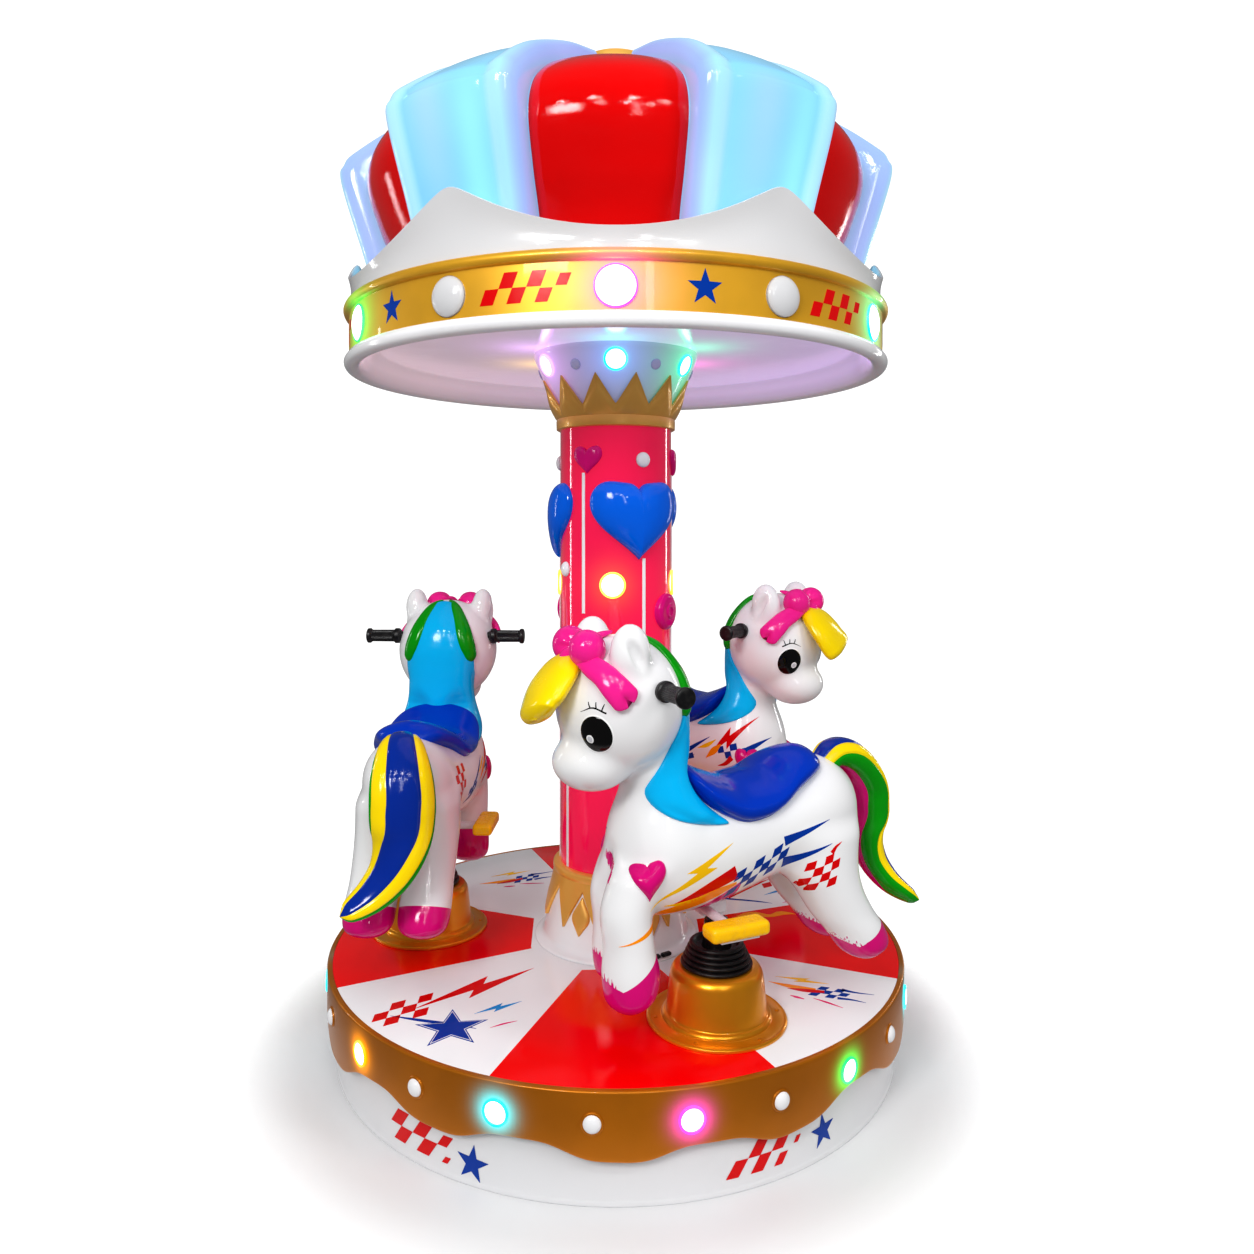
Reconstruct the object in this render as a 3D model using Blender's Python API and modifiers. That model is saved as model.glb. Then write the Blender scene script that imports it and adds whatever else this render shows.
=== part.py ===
"""Three-seat fairground carousel, in metres, +Z up, with its origin on the axis at the ground.

A turntable with a lit column and canopy turns on a low drum. Three ponies bob on pots
that stand on the deck. The front of the machine faces -Y.
"""
import math

import bmesh
import bpy
from mathutils import Matrix, Vector

GAP = 0.0003                      # between pieces that touch
ROUND = 60                        # sides of the deck and its apron
RING = 40                         # sides of the smaller turned pieces

DECK_R = 0.700
DECK_TOP = 0.224
DECK_THICK = 0.024
APRON_THICK = 0.012
APRON_MID_Z = 0.110
APRON_WAVE = 0.015
APRON_LOBES = 12
BOSS_STEP = 15.0                  # degrees between a lamp and the next dome
BOSS_START = -3.5
APRON_BOSS_Z = 0.166
DRUM_FOOT_R = 0.679
DRUM_TOP_R = 0.674
DRUM_TOP = 0.184
BEARING_R = 0.200

FOOT_FLANGE_R = 0.203
FOOT_R = 0.183
FOOT_NECK_R = 0.1505
FOOT_TOP = 0.389
COLLAR_R = 0.157
COLLAR_TOP = 0.414
COLUMN_R = 0.140
COLUMN_WALL = 0.005
COLUMN_TOP = 1.490
UPPER_RING_TOP = 1.516
LEAF_TOP = 1.611
LEAF_COUNT = 12
BOWL_R = 0.206
BOWL_TOP = 1.680

HEART_W = 0.206
HEART_H = 0.188
HEART_Z = 1.263
HEART_ANGLES = (23.0, 143.0, -97.0)      # from the front, counter-clockwise from above
HEART_DEPTH = 0.030

CEILING_TOP = 1.690
RIM_SEAT_Z = 1.649
BAND_R = 0.651
BAND_TOP = 1.742
BEAD_TOP = 1.767
BAND_BOSS_Z = 1.695
CROWN_VALLEY = 1.807
CROWN_PEAK = 1.907
CROWN_CURVE = 2.1                 # 1 would be straight flanks, more is hollower
SECTORS = 6
PANEL_HALF = 14.6                 # degrees from a red panel's middle to the lobe beside it
LOBE_HALF = 14.6
PANEL_THICK = 0.006
RED_PROFILE = ((0.520, 1.6903), (0.539, 1.848), (0.578, 1.950), (0.605, 2.050),
               (0.575, 2.140), (0.500, 2.205), (0.420, 2.240), (0.280, 2.302), (0.150, 2.368))
LOBE_PROFILE = ((0.575, 1.6903), (0.588, 1.780), (0.616, 1.890), (0.671, 2.072),
                (0.665, 2.118), (0.636, 2.152), (0.520, 2.232), (0.330, 2.322), (0.150, 2.385))
LOBE_RIM_OUT = 12.0               # degrees from a lobe's middle to the crest of its rim
LOBE_RIM_IN = 9.5                 # and to the crease inside that rim
LOBE_EDGE_DROP = 0.014            # how far the lobe's edge lies below the rim's crest
LOBE_CREASE_DROP = 0.010
LOBE_MIDDLE_DROP = 0.004
SHELL_INSIDE = ((0.142, 2.340), (0.400, 2.215), (0.575, 2.050), (0.510, 1.840), (0.500, 1.6903))
CAP_R = 0.162
CAP_TOP = 2.463

PONY_RADIUS = 0.478
PONY_ANGLES = (-63.9, 56.1, 176.1)       # world angle of each pot, degrees
PONY_YAW = (-92.0, -92.0, -88.5)         # heading of each pony, from its pot's own angle
PONY_RISE = (0.0, 0.030, 0.012)          # how high each pony stands at rest
POT_FLANGE_R = 0.146
POT_R = 0.105
POT_SHOULDER_R = 0.094
POT_H = 0.112
SHAFT_R = 0.018
SHAFT_GAP = 0.0005
SHAFT_FOOT = 0.030
BELLOWS_H = 0.048
BELLOWS_WIDE = 0.076
BELLOWS_NARROW = 0.036
BELLOWS_RINGS = 4
BAR_U = 0.187
BAR_Z = 0.712
BAR_R = 0.012
GRIP_R = 0.016
GRIP_IN = 0.138
GRIP_OUT = 0.216
FLANGE_R = 0.020
PEDAL = (0.122, 0.050, 0.030)
PEDAL_AT = (0.036, 0.139, 0.241)
CROSSBAR_R = 0.011
CROSSBAR_LENGTH = 0.26

# Pony forms, X forward, Y left and Z above the deck.
# The torso is ovals square to X: place along X, middle height, half width, half height.
TORSO = ((-0.336, 0.415, 0.030, 0.035), (-0.305, 0.415, 0.085, 0.080),
         (-0.245, 0.422, 0.120, 0.103), (-0.150, 0.412, 0.124, 0.098),
         (-0.040, 0.397, 0.118, 0.100), (0.060, 0.387, 0.120, 0.118),
         (0.150, 0.385, 0.128, 0.130), (0.215, 0.378, 0.112, 0.115),
         (0.252, 0.362, 0.060, 0.065))
# The saddle is ovals like the torso's.
SADDLE_FORM = ((0.106, 0.533, 0.050, 0.012), (0.088, 0.520, 0.092, 0.028),
               (0.065, 0.499, 0.113, 0.038), (0.030, 0.479, 0.122, 0.044),
               (-0.010, 0.464, 0.126, 0.047), (-0.060, 0.468, 0.126, 0.045),
               (-0.100, 0.481, 0.124, 0.040), (-0.145, 0.507, 0.116, 0.040),
               (-0.190, 0.522, 0.102, 0.034), (-0.222, 0.521, 0.076, 0.026),
               (-0.240, 0.515, 0.040, 0.012))
# Level ovals: place along X, height, half length, half width.
NECK = ((0.138, 0.400, 0.088, 0.100), (0.145, 0.480, 0.076, 0.090), (0.172, 0.600, 0.072, 0.082))
FRONT_LEG = ((0.212, 0.365, 0.060, 0.055), (0.240, 0.285, 0.055, 0.053),
             (0.234, 0.215, 0.052, 0.053), (0.226, 0.160, 0.057, 0.056),
             (0.228, 0.118, 0.050, 0.054), (0.236, 0.090, 0.030, 0.040))
REAR_LEG = ((-0.212, 0.390, 0.100, 0.056), (-0.216, 0.310, 0.090, 0.058),
            (-0.240, 0.255, 0.076, 0.057), (-0.270, 0.205, 0.072, 0.056),
            (-0.302, 0.165, 0.068, 0.058), (-0.322, 0.128, 0.060, 0.056),
            (-0.322, 0.098, 0.034, 0.042))
MANE = ((0.180, 0.815, 0.018, 0.026), (0.156, 0.785, 0.036, 0.056), (0.136, 0.745, 0.040, 0.076),
        (0.130, 0.690, 0.044, 0.088), (0.128, 0.640, 0.046, 0.092), (0.133, 0.590, 0.054, 0.094),
        (0.139, 0.550, 0.062, 0.100), (0.140, 0.515, 0.074, 0.110), (0.128, 0.485, 0.082, 0.118),
        (0.098, 0.460, 0.074, 0.120), (0.076, 0.440, 0.044, 0.114))
LEG_V = 0.062
RIGHT_FRONT_LEG_BACK = 0.032             # the right front leg is this far behind the left one
HEAD_AT, HEAD_R = (0.226, 0.0, 0.672), (0.133, 0.135, 0.137)
MUZZLE_AT, MUZZLE_R = (0.287, 0.0, 0.566), (0.081, 0.086, 0.060)
EAR_AT, EAR_R = (0.242, 0.093, 0.782), (0.040, 0.030, 0.056)
BOW_AT, BOW_R = (0.310, 0.045, 0.788), (0.036, 0.036, 0.038)
KNOT_AT, KNOT_R = (0.330, 0.0, 0.764), (0.020, 0.022, 0.024)
# Swept forms: place along X, Y and Z, half thickness, half width.
FORELOCK = ((0.318, 0.0, 0.765, 0.018, 0.030), (0.340, 0.0, 0.742, 0.026, 0.038),
            (0.366, 0.0, 0.710, 0.032, 0.044), (0.388, 0.0, 0.680, 0.037, 0.046),
            (0.401, 0.0, 0.661, 0.028, 0.038))
RIBBON = ((0.310, 0.076, 0.757, 0.009, 0.015), (0.298, 0.100, 0.744, 0.010, 0.018),
          (0.284, 0.120, 0.723, 0.010, 0.022), (0.260, 0.136, 0.694, 0.008, 0.024))
TAIL = ((-0.262, 0.000, 0.498, 0.026, 0.034), (-0.300, -0.008, 0.520, 0.032, 0.045),
        (-0.345, -0.018, 0.509, 0.038, 0.058), (-0.388, -0.030, 0.462, 0.039, 0.070),
        (-0.405, -0.036, 0.400, 0.038, 0.074), (-0.408, -0.032, 0.330, 0.037, 0.067),
        (-0.417, -0.012, 0.265, 0.034, 0.056), (-0.434, 0.022, 0.215, 0.028, 0.044),
        (-0.458, 0.058, 0.186, 0.018, 0.028), (-0.472, 0.074, 0.178, 0.007, 0.010))


def clear_scene():
    for obj in list(bpy.data.objects):
        bpy.data.objects.remove(obj, do_unlink=True)


def collection(name):
    made = bpy.data.collections.new(name)
    bpy.context.scene.collection.children.link(made)
    return made


def material(name, colour, rough, metal=0.0):
    made = bpy.data.materials.new(name)
    made.use_nodes = True
    shader = made.node_tree.nodes["Principled BSDF"]
    shader.inputs["Base Color"].default_value = (*colour, 1.0)
    shader.inputs["Roughness"].default_value = rough
    shader.inputs["Metallic"].default_value = metal
    return made


def mesh_object(name, bm, finish):
    """Put a bmesh into a new object with its material and smooth shading."""
    bmesh.ops.recalc_face_normals(bm, faces=bm.faces)
    mesh = bpy.data.meshes.new(name)
    bm.to_mesh(mesh)
    bm.free()
    mesh.shade_smooth()
    mesh.set_sharp_from_angle(angle=math.radians(40.0))
    obj = bpy.data.objects.new(name, mesh)
    PARTS.objects.link(obj)
    if finish:
        obj.data.materials.append(finish)
    return obj


def loft(name, rings, finish, wrap=False):
    """Skin closed rings of equal length, with flat ends or, with wrap, round to the first."""
    bm = bmesh.new()
    loops = [[bm.verts.new(point) for point in ring] for ring in rings]
    count = len(loops[0])
    pairs = list(zip(loops, loops[1:]))
    if wrap:
        pairs.append((loops[-1], loops[0]))
    for low, high in pairs:
        for i in range(count):
            j = (i + 1) % count
            bm.faces.new((low[i], low[j], high[j], high[i]))
    bmesh.ops.triangulate(bm, faces=bm.faces, quad_method="FIXED")
    if not wrap:
        bm.faces.new(loops[0])
        bm.faces.new(loops[-1])
    return mesh_object(name, bm, finish)


def turned(name, profile, finish, steps=RING, closed=False):
    """Turn a profile of (radius, height) points about Z with a Screw modifier."""
    bm = bmesh.new()
    points = [bm.verts.new((radius, 0.0, height)) for radius, height in profile]
    pairs = list(zip(points, points[1:]))
    if closed:
        pairs.append((points[-1], points[0]))
    for pair in pairs:
        bm.edges.new(pair)
    mesh = bpy.data.meshes.new(name)
    bm.to_mesh(mesh)
    bm.free()
    obj = bpy.data.objects.new(name, mesh)
    PARTS.objects.link(obj)
    obj.data.materials.append(finish)
    screw = obj.modifiers.new("turn", "SCREW")
    screw.steps = steps
    screw.render_steps = steps
    screw.use_merge_vertices = True
    screw.merge_threshold = 0.00001
    return obj


def settle(obj):
    """Replace an object by the mesh of its evaluated modifiers."""
    bpy.context.view_layer.update()
    graph = bpy.context.evaluated_depsgraph_get()
    mesh = bpy.data.meshes.new_from_object(obj.evaluated_get(graph))
    obj.modifiers.clear()
    obj.data = mesh
    return obj


def combine(target, tool, operation):
    """Join a tool object to the target, or cut it out of it, and remove the tool."""
    modifier = target.modifiers.new("combine", "BOOLEAN")
    modifier.operation = operation
    modifier.solver = "EXACT"
    modifier.object = tool
    settle(target)
    bpy.data.objects.remove(tool, do_unlink=True)
    return target


def main_body(obj):
    """Drop the slivers that a cut left beside an object's main body."""
    bm = bmesh.new()
    bm.from_mesh(obj.data)
    unseen = set(bm.verts)
    bodies = []
    while unseen:
        body = {unseen.pop()}
        edge = list(body)
        while edge:
            near = {link.other_vert(vert) for vert in edge for link in vert.link_edges} - body
            body |= near
            edge = list(near)
        unseen -= body
        bodies.append(body)
    bodies.sort(key=len)
    for body in bodies[:-1]:
        bmesh.ops.delete(bm, geom=list(body), context="VERTS")
    bm.to_mesh(obj.data)
    bm.free()
    return obj


def cone_along(direction, centre, base_r, top_r, depth, sides):
    """A tapered boss whose axis points along a direction, as a new object."""
    bm = bmesh.new()
    bmesh.ops.create_cone(bm, cap_ends=True, segments=sides, radius1=base_r, radius2=top_r,
                          depth=depth)
    bmesh.ops.rotate(bm, matrix=Matrix.Rotation(math.pi / sides, 3, "Z"), verts=bm.verts)
    turn = Vector((0.0, 0.0, 1.0)).rotation_difference(Vector(direction)).to_matrix().to_4x4()
    bmesh.ops.transform(bm, matrix=Matrix.Translation(centre) @ turn, verts=bm.verts)
    return mesh_object("boss", bm, None)


def ellipsoid(centre, radii, sides, finish):
    bm = bmesh.new()
    bmesh.ops.create_uvsphere(bm, u_segments=sides, v_segments=sides * 2 // 3, radius=1.0)
    bmesh.ops.scale(bm, vec=radii, verts=bm.verts)
    bmesh.ops.translate(bm, vec=centre, verts=bm.verts)
    return mesh_object("ellipsoid", bm, finish)


def oval(axis, centre, across, up, sides=10):
    """An ellipse of points square to X for axis 0, or level for axis 2."""
    points = []
    for k in range(sides):
        angle = 2.0 * math.pi * k / sides
        a, b = across * math.cos(angle), up * math.sin(angle)
        offset = Vector((0.0, a, b)) if axis == 0 else Vector((a, b, 0.0))
        points.append(Vector(centre) + offset)
    return points


def mirrored(place, side):
    """A place or station on the pony's left, or with side -1 its twin on the right."""
    return (place[0], place[1] * side, *place[2:])


def from_front(degrees):
    """World angle of a bearing that is measured from the front, counter-clockwise."""
    return math.radians(degrees - 90.0)


def polar(radius, angle, height):
    return Vector((radius * math.cos(angle), radius * math.sin(angle), height))


def hem_height(degrees):
    """Lower edge of the apron at a bearing from the front: twelve uneven drips."""
    angle = math.radians(degrees)
    wave = APRON_WAVE * math.cos(APRON_LOBES * angle)
    uneven = 0.006 * math.cos(5.0 * angle + 2.4) + 0.004 * math.cos(9.0 * angle)
    return APRON_MID_Z - wave + uneven


def base_drum():
    profile = ((0.0, DECK_TOP - DECK_THICK - GAP), (BEARING_R, DECK_TOP - DECK_THICK - GAP),
               (BEARING_R, DRUM_TOP), (DRUM_TOP_R - 0.006, DRUM_TOP), (DRUM_TOP_R, DRUM_TOP - 0.006),
               (DRUM_FOOT_R, 0.0), (0.0, 0.0))
    turned("base_drum", profile, WHITE)


def deck():
    edge = DECK_R - APRON_THICK - GAP
    profile = ((0.0, DECK_TOP), (edge, DECK_TOP), (edge, DECK_TOP - DECK_THICK),
               (0.0, DECK_TOP - DECK_THICK))
    turned("deck", profile, RED, ROUND)


def apron():
    inner = DECK_R - APRON_THICK
    rings = []
    for k in range(ROUND):
        angle = 2.0 * math.pi * k / ROUND
        hem = hem_height(math.degrees(angle) + 90.0)
        section = ((inner, DECK_TOP), (DECK_R - 0.005, DECK_TOP), (DECK_R, DECK_TOP - 0.006),
                   (DECK_R, hem), (inner + 0.003, hem))
        rings.append([polar(radius, angle, height) for radius, height in section])
    body = loft("apron", rings, GOLD, wrap=True)
    for k in range(int(360.0 / BOSS_STEP)):
        angle = from_front(BOSS_START + BOSS_STEP * k)
        lamp = k % 2 == 1
        width = 0.026 if lamp else 0.018
        out = Vector((math.cos(angle), math.sin(angle), 0.0))
        boss = cone_along(out, polar(DECK_R, angle, APRON_BOSS_Z), width, width * 0.72, 0.020, 8)
        combine(body, boss, "UNION")


def column_parts():
    foot = ((0.0, FOOT_TOP), (FOOT_NECK_R, FOOT_TOP), (FOOT_R, DECK_TOP + 0.012),
            (FOOT_FLANGE_R, DECK_TOP + 0.006), (FOOT_FLANGE_R, DECK_TOP + GAP),
            (0.0, DECK_TOP + GAP))
    turned("column_foot", foot, WHITE)
    collar = ((0.0, COLLAR_TOP), (COLLAR_R - 0.006, COLLAR_TOP), (COLLAR_R, COLLAR_TOP - 0.006),
              (COLLAR_R, FOOT_TOP + 0.006), (COLLAR_R - 0.006, FOOT_TOP + GAP),
              (0.0, FOOT_TOP + GAP))
    turned("lower_collar", collar, GOLD, 36)
    low, high = COLLAR_TOP + GAP, COLUMN_TOP - GAP
    tube = ((COLUMN_R, high), (COLUMN_R, low), (COLUMN_R - COLUMN_WALL, low),
            (COLUMN_R - COLUMN_WALL, high))
    turned("column", tube, PINK, closed=True)
    upper_collar()
    low = UPPER_RING_TOP + GAP
    bowl = ((0.198, BOWL_TOP - GAP), (BOWL_R, BOWL_TOP - GAP), (BOWL_R, 1.671), (0.180, 1.611),
            (0.157, 1.560), (0.1405, low), (0.130, low), (0.148, 1.560), (0.198, 1.671))
    turned("upper_bowl", bowl, WHITE, 30, closed=True)


def upper_collar():
    """A gold ring with twelve flared leaves that stand along the bowl."""
    samples = LEAF_COUNT * 4
    rings = []
    for k in range(samples):
        angle = from_front(15.0) + 2.0 * math.pi * k / samples
        share = (1.0 + math.cos(LEAF_COUNT * 2.0 * math.pi * k / samples)) / 2.0
        tip = UPPER_RING_TOP + 0.010 + (LEAF_TOP - UPPER_RING_TOP - 0.010) * share
        flare = (tip - UPPER_RING_TOP) / (LEAF_TOP - UPPER_RING_TOP)
        section = ((0.105, COLUMN_TOP), (0.147, COLUMN_TOP), (0.149, UPPER_RING_TOP),
                   (0.151 + 0.038 * flare, tip), (0.146 + 0.038 * flare, tip),
                   (0.1425, UPPER_RING_TOP), (0.105, UPPER_RING_TOP))
        rings.append([polar(radius, angle, height) for radius, height in section])
    loft("upper_collar", rings, GOLD, wrap=True)


def heart_outline(count, width, height):
    """Points round a heart, as offsets across and up from its middle."""
    raw = []
    for k in range(count):
        t = 2.0 * math.pi * (k + 0.5) / count
        across = 16.0 * math.sin(t) ** 3
        up = 13.0 * math.cos(t) - 5.0 * math.cos(2.0 * t) - 2.0 * math.cos(3.0 * t) - math.cos(4.0 * t)
        raw.append((across, up))
    low = min(up for _, up in raw)
    high = max(up for _, up in raw)
    middle = (low + high) / 2.0
    return [(x / 32.0 * width, (y - middle) / (high - low) * height) for x, y in raw]


def hearts():
    """Puffy hearts that wrap round the column, cut back to its face."""
    outline = heart_outline(20, HEART_W, HEART_H)
    layers = ((1.0, COLUMN_R - 0.012), (1.0, COLUMN_R + 0.006), (0.93, COLUMN_R + 0.017),
              (0.72, COLUMN_R + HEART_DEPTH * 0.9), (0.35, COLUMN_R + HEART_DEPTH))
    for number, bearing in enumerate(HEART_ANGLES, 1):
        middle = from_front(bearing)
        rings = []
        for scale, radius in layers:
            rings.append([polar(radius, middle + x * scale / COLUMN_R, HEART_Z + y * scale)
                          for x, y in outline])
        heart = loft("big_heart_%d" % number, rings, BLUE_HEART)
        cutter = turned("cutter", ((0.0, COLUMN_TOP), (COLUMN_R + GAP * 1.5, COLUMN_TOP),
                                   (COLUMN_R + GAP * 1.5, 1.0), (0.0, 1.0)), None)
        combine(heart, settle(cutter), "DIFFERENCE")


def canopy_ceiling():
    """White underside plate with the rolled rim moulded below its edge."""
    profile = ((0.0, CEILING_TOP), (0.640, CEILING_TOP), (0.640, RIM_SEAT_Z), (0.655, RIM_SEAT_Z),
               (0.663, 1.636), (0.658, 1.624), (0.642, 1.618), (0.627, 1.624), (0.6216, 1.640),
               (0.590, BOWL_TOP), (0.0, BOWL_TOP))
    turned("canopy_ceiling", profile, WHITE)


def canopy_band():
    low = RIM_SEAT_Z + GAP
    profile = ((0.6405, BEAD_TOP), (0.652, BEAD_TOP), (0.662, 1.761), (0.662, 1.748),
               (BAND_R, BAND_TOP), (BAND_R, low), (0.6405, low))
    band = settle(turned("canopy_band", profile, GOLD, closed=True))
    for k in range(SECTORS * 2):
        angle = from_front(30.0 * k)
        out = Vector((math.cos(angle), math.sin(angle), 0.0))
        boss = cone_along(out, polar(BAND_R + 0.005, angle, BAND_BOSS_Z), 0.038, 0.028, 0.020, 8)
        combine(band, boss, "UNION")


def crown_skirt():
    rings = []
    for k in range(ROUND):
        angle = 2.0 * math.pi * k / ROUND
        bearing = math.degrees(angle) + 90.0
        share = abs((bearing / 60.0 + 0.5) % 1.0 * 2.0 - 1.0)
        top = CROWN_VALLEY + (CROWN_PEAK - CROWN_VALLEY) * share ** CROWN_CURVE
        section = ((0.644, BEAD_TOP + GAP), (BAND_R, BEAD_TOP + GAP), (BAND_R + 0.001, top),
                   (0.645, top))
        rings.append([polar(radius, angle, height) for radius, height in section])
    loft("crown_skirt", rings, WHITE, wrap=True)


def inset(profile, depth):
    """Move a profile's points square to it, towards the inside of the canopy."""
    moved = []
    for k, (radius, height) in enumerate(profile):
        before = profile[max(k - 1, 0)]
        after = profile[min(k + 1, len(profile) - 1)]
        along = Vector((after[0] - before[0], after[1] - before[1])).normalized()
        moved.append((radius - along.y * depth, height + along.x * depth))
    moved[0] = (profile[0][0] - depth, profile[0][1])
    return moved


def lantern_shell():
    """Blue shell with six rimmed lobes, and recesses between them for the red panels."""
    recess = inset(RED_PROFILE, PANEL_THICK + GAP)
    edge = inset(LOBE_PROFILE, LOBE_EDGE_DROP)
    crease = inset(LOBE_PROFILE, LOBE_CREASE_DROP)
    middle = inset(LOBE_PROFILE, LOBE_MIDDLE_DROP)
    half_lobe = ((LOBE_HALF, edge), (LOBE_RIM_OUT, LOBE_PROFILE), (LOBE_RIM_IN, crease))
    rings = []
    for sector in range(SECTORS):
        centre = 60.0 * sector
        lobe = centre + 30.0
        bearings = [(centre - PANEL_HALF, recess), (centre, recess), (centre + PANEL_HALF, recess)]
        bearings += [(lobe - away, outside) for away, outside in half_lobe]
        bearings += [(lobe, middle)]
        bearings += [(lobe + away, outside) for away, outside in reversed(half_lobe)]
        for bearing, outside in bearings:
            section = list(outside) + list(SHELL_INSIDE)
            rings.append([polar(radius, from_front(bearing), height) for radius, height in section])
    loft("lantern_shell", rings, BLUE_GLOW, wrap=True)


def red_panels():
    inside = inset(RED_PROFILE, PANEL_THICK)
    section = list(RED_PROFILE) + list(reversed(inside))
    half = PANEL_HALF - 0.5
    for number in range(SECTORS):
        bearings = (60.0 * number - half, 60.0 * number, 60.0 * number + half)
        rings = [[polar(radius, from_front(bearing), height) for radius, height in section]
                 for bearing in bearings]
        loft("red_panel_%d" % (number + 1), rings, RED)


def gold_cap():
    low = LOBE_PROFILE[-1][1] + GAP
    profile = ((0.0, CAP_TOP), (0.050, CAP_TOP - 0.004), (0.105, CAP_TOP - 0.018),
               (0.145, CAP_TOP - 0.036), (CAP_R, CAP_TOP - 0.050), (CAP_R - 0.004, low), (0.0, low))
    turned("gold_cap", profile, GOLD, 24)


def pot(number, place):
    shaft = SHAFT_R + SHAFT_GAP
    profile = ((shaft, POT_H), (POT_SHOULDER_R - 0.010, POT_H), (POT_SHOULDER_R, POT_H - 0.008),
               (POT_R, 0.016), (POT_FLANGE_R - 0.004, 0.012), (POT_FLANGE_R, 0.008),
               (POT_FLANGE_R, GAP), (shaft, GAP))
    body = turned("pony_%d_pot" % number, profile, GOLD, 20, closed=True)
    body.matrix_world = place
    return body


def bellows(number, place, rise):
    """Rubber bellows that narrow upwards round the shaft."""
    low = POT_H + GAP
    high = low + BELLOWS_H + rise
    sides = 12
    inner = (SHAFT_R + GAP) / math.cos(math.pi / sides)
    outside = []
    for k in range(BELLOWS_RINGS):
        share = k / BELLOWS_RINGS
        pitch = (high - low) / BELLOWS_RINGS
        wide = BELLOWS_WIDE + (BELLOWS_NARROW - BELLOWS_WIDE) * share
        outside.append((wide - 0.012, low + pitch * k))
        outside.append((wide, low + pitch * (k + 0.5)))
    outside.append((BELLOWS_NARROW - 0.010, high))
    profile = [(inner, high)] + list(reversed(outside)) + [(inner, low)]
    body = turned("pony_%d_bellows" % number, profile, RUBBER, sides, closed=True)
    body.matrix_world = place


def upright(name, stations, side, finish, swell, sides=10):
    """A loft through level ovals, grown by swell all round."""
    rings = []
    last = len(stations) - 1
    for k, (u, z, long, wide) in enumerate(stations):
        lift = swell if k == 0 else -swell if k == last else 0.0
        if stations[0][1] < stations[-1][1]:
            lift = -lift
        rings.append(oval(2, (u, side, z + lift), long + swell, wide + swell, sides))
    return loft(name, rings, finish)


def pony_shapes(swell=0.0):
    """The forms that make up a pony in its own frame: X forward, Y left, Z above the deck."""
    rings = []
    for k, (u, z, wide, high) in enumerate(TORSO):
        push = -swell if k == 0 else swell if k == len(TORSO) - 1 else 0.0
        rings.append(oval(0, (u + push, 0.0, z), wide + swell, high + swell))
    shapes = [loft("torso", rings, WHITE), upright("neck", NECK, 0.0, WHITE, swell),
              ellipsoid(HEAD_AT, [r + swell for r in HEAD_R], 12, WHITE),
              ellipsoid(MUZZLE_AT, [r + swell for r in MUZZLE_R], 9, WHITE)]
    for side in (1.0, -1.0):
        back = RIGHT_FRONT_LEG_BACK if side < 0.0 else 0.0
        front_leg = [(u - back, *rest) for u, *rest in FRONT_LEG]
        shapes.append(upright("front_leg", front_leg, LEG_V * side, WHITE, swell, 8))
        shapes.append(upright("rear_leg", REAR_LEG, LEG_V * side, WHITE, swell, 8))
        shapes.append(ellipsoid(mirrored(EAR_AT, side), [r + swell for r in EAR_R], 8, WHITE))
    return shapes


def pony_body():
    body, *others = pony_shapes()
    for shape in others:
        combine(body, shape, "UNION")
    bore_r = BAR_R + GAP * 2.0
    bore = cone_along((0.0, 1.0, 0.0), (BAR_U, 0.0, BAR_Z), bore_r, bore_r, 0.4, 12)
    return combine(body, bore, "DIFFERENCE")


def fit_to_pony(target):
    """Cut a piece back so that it rests on the pony with a small gap."""
    for shape in pony_shapes(GAP * 2.0):
        combine(target, shape, "DIFFERENCE")
    return main_body(target)


def mane(swell=0.0):
    return upright("mane", MANE, 0.0, HAIR, swell)


def saddle():
    made = loft("saddle", [oval(0, (u, 0.0, z), w, h) for u, z, w, h in SADDLE_FORM], SADDLE)
    combine(made, mane(GAP * 2.0), "DIFFERENCE")
    return fit_to_pony(made)


def sweep(name, stations, finish, hub=None, sides=8):
    """A flat loft along a path, its thin way pointing up or, with a hub, away from that point."""
    places = [Vector(station[:3]) for station in stations]
    rings = []
    for k, (place, station) in enumerate(zip(places, stations)):
        thick, wide = station[3:]
        along = (places[min(k + 1, len(places) - 1)] - places[max(k - 1, 0)]).normalized()
        out = (place - Vector(hub)) if hub else along.cross(Vector((0.0, 1.0, 0.0)))
        out = (out - along * out.dot(along)).normalized()
        side = along.cross(out)
        turns = (2.0 * math.pi * i / sides for i in range(sides))
        rings.append([place + out * thick * math.cos(a) + side * wide * math.sin(a) for a in turns])
    return loft(name, rings, finish)


def bow():
    """Bow on the forehead with its two ribbons, and the forelock that flares out below it."""
    made = sweep("bow", FORELOCK, YELLOW)
    others = [ellipsoid(KNOT_AT, KNOT_R, 9, BOW_PINK)]
    for side in (1.0, -1.0):
        others.append(ellipsoid(mirrored(BOW_AT, side), BOW_R, 12, BOW_PINK))
        ribbon = [mirrored(station, side) for station in RIBBON]
        others.append(sweep("ribbon", ribbon, BOW_PINK, HEAD_AT, 6))
    for other in others:
        combine(made, other, "UNION")
    return fit_to_pony(made)


def tail():
    return fit_to_pony(sweep("tail", TAIL, HAIR, sides=10))


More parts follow.
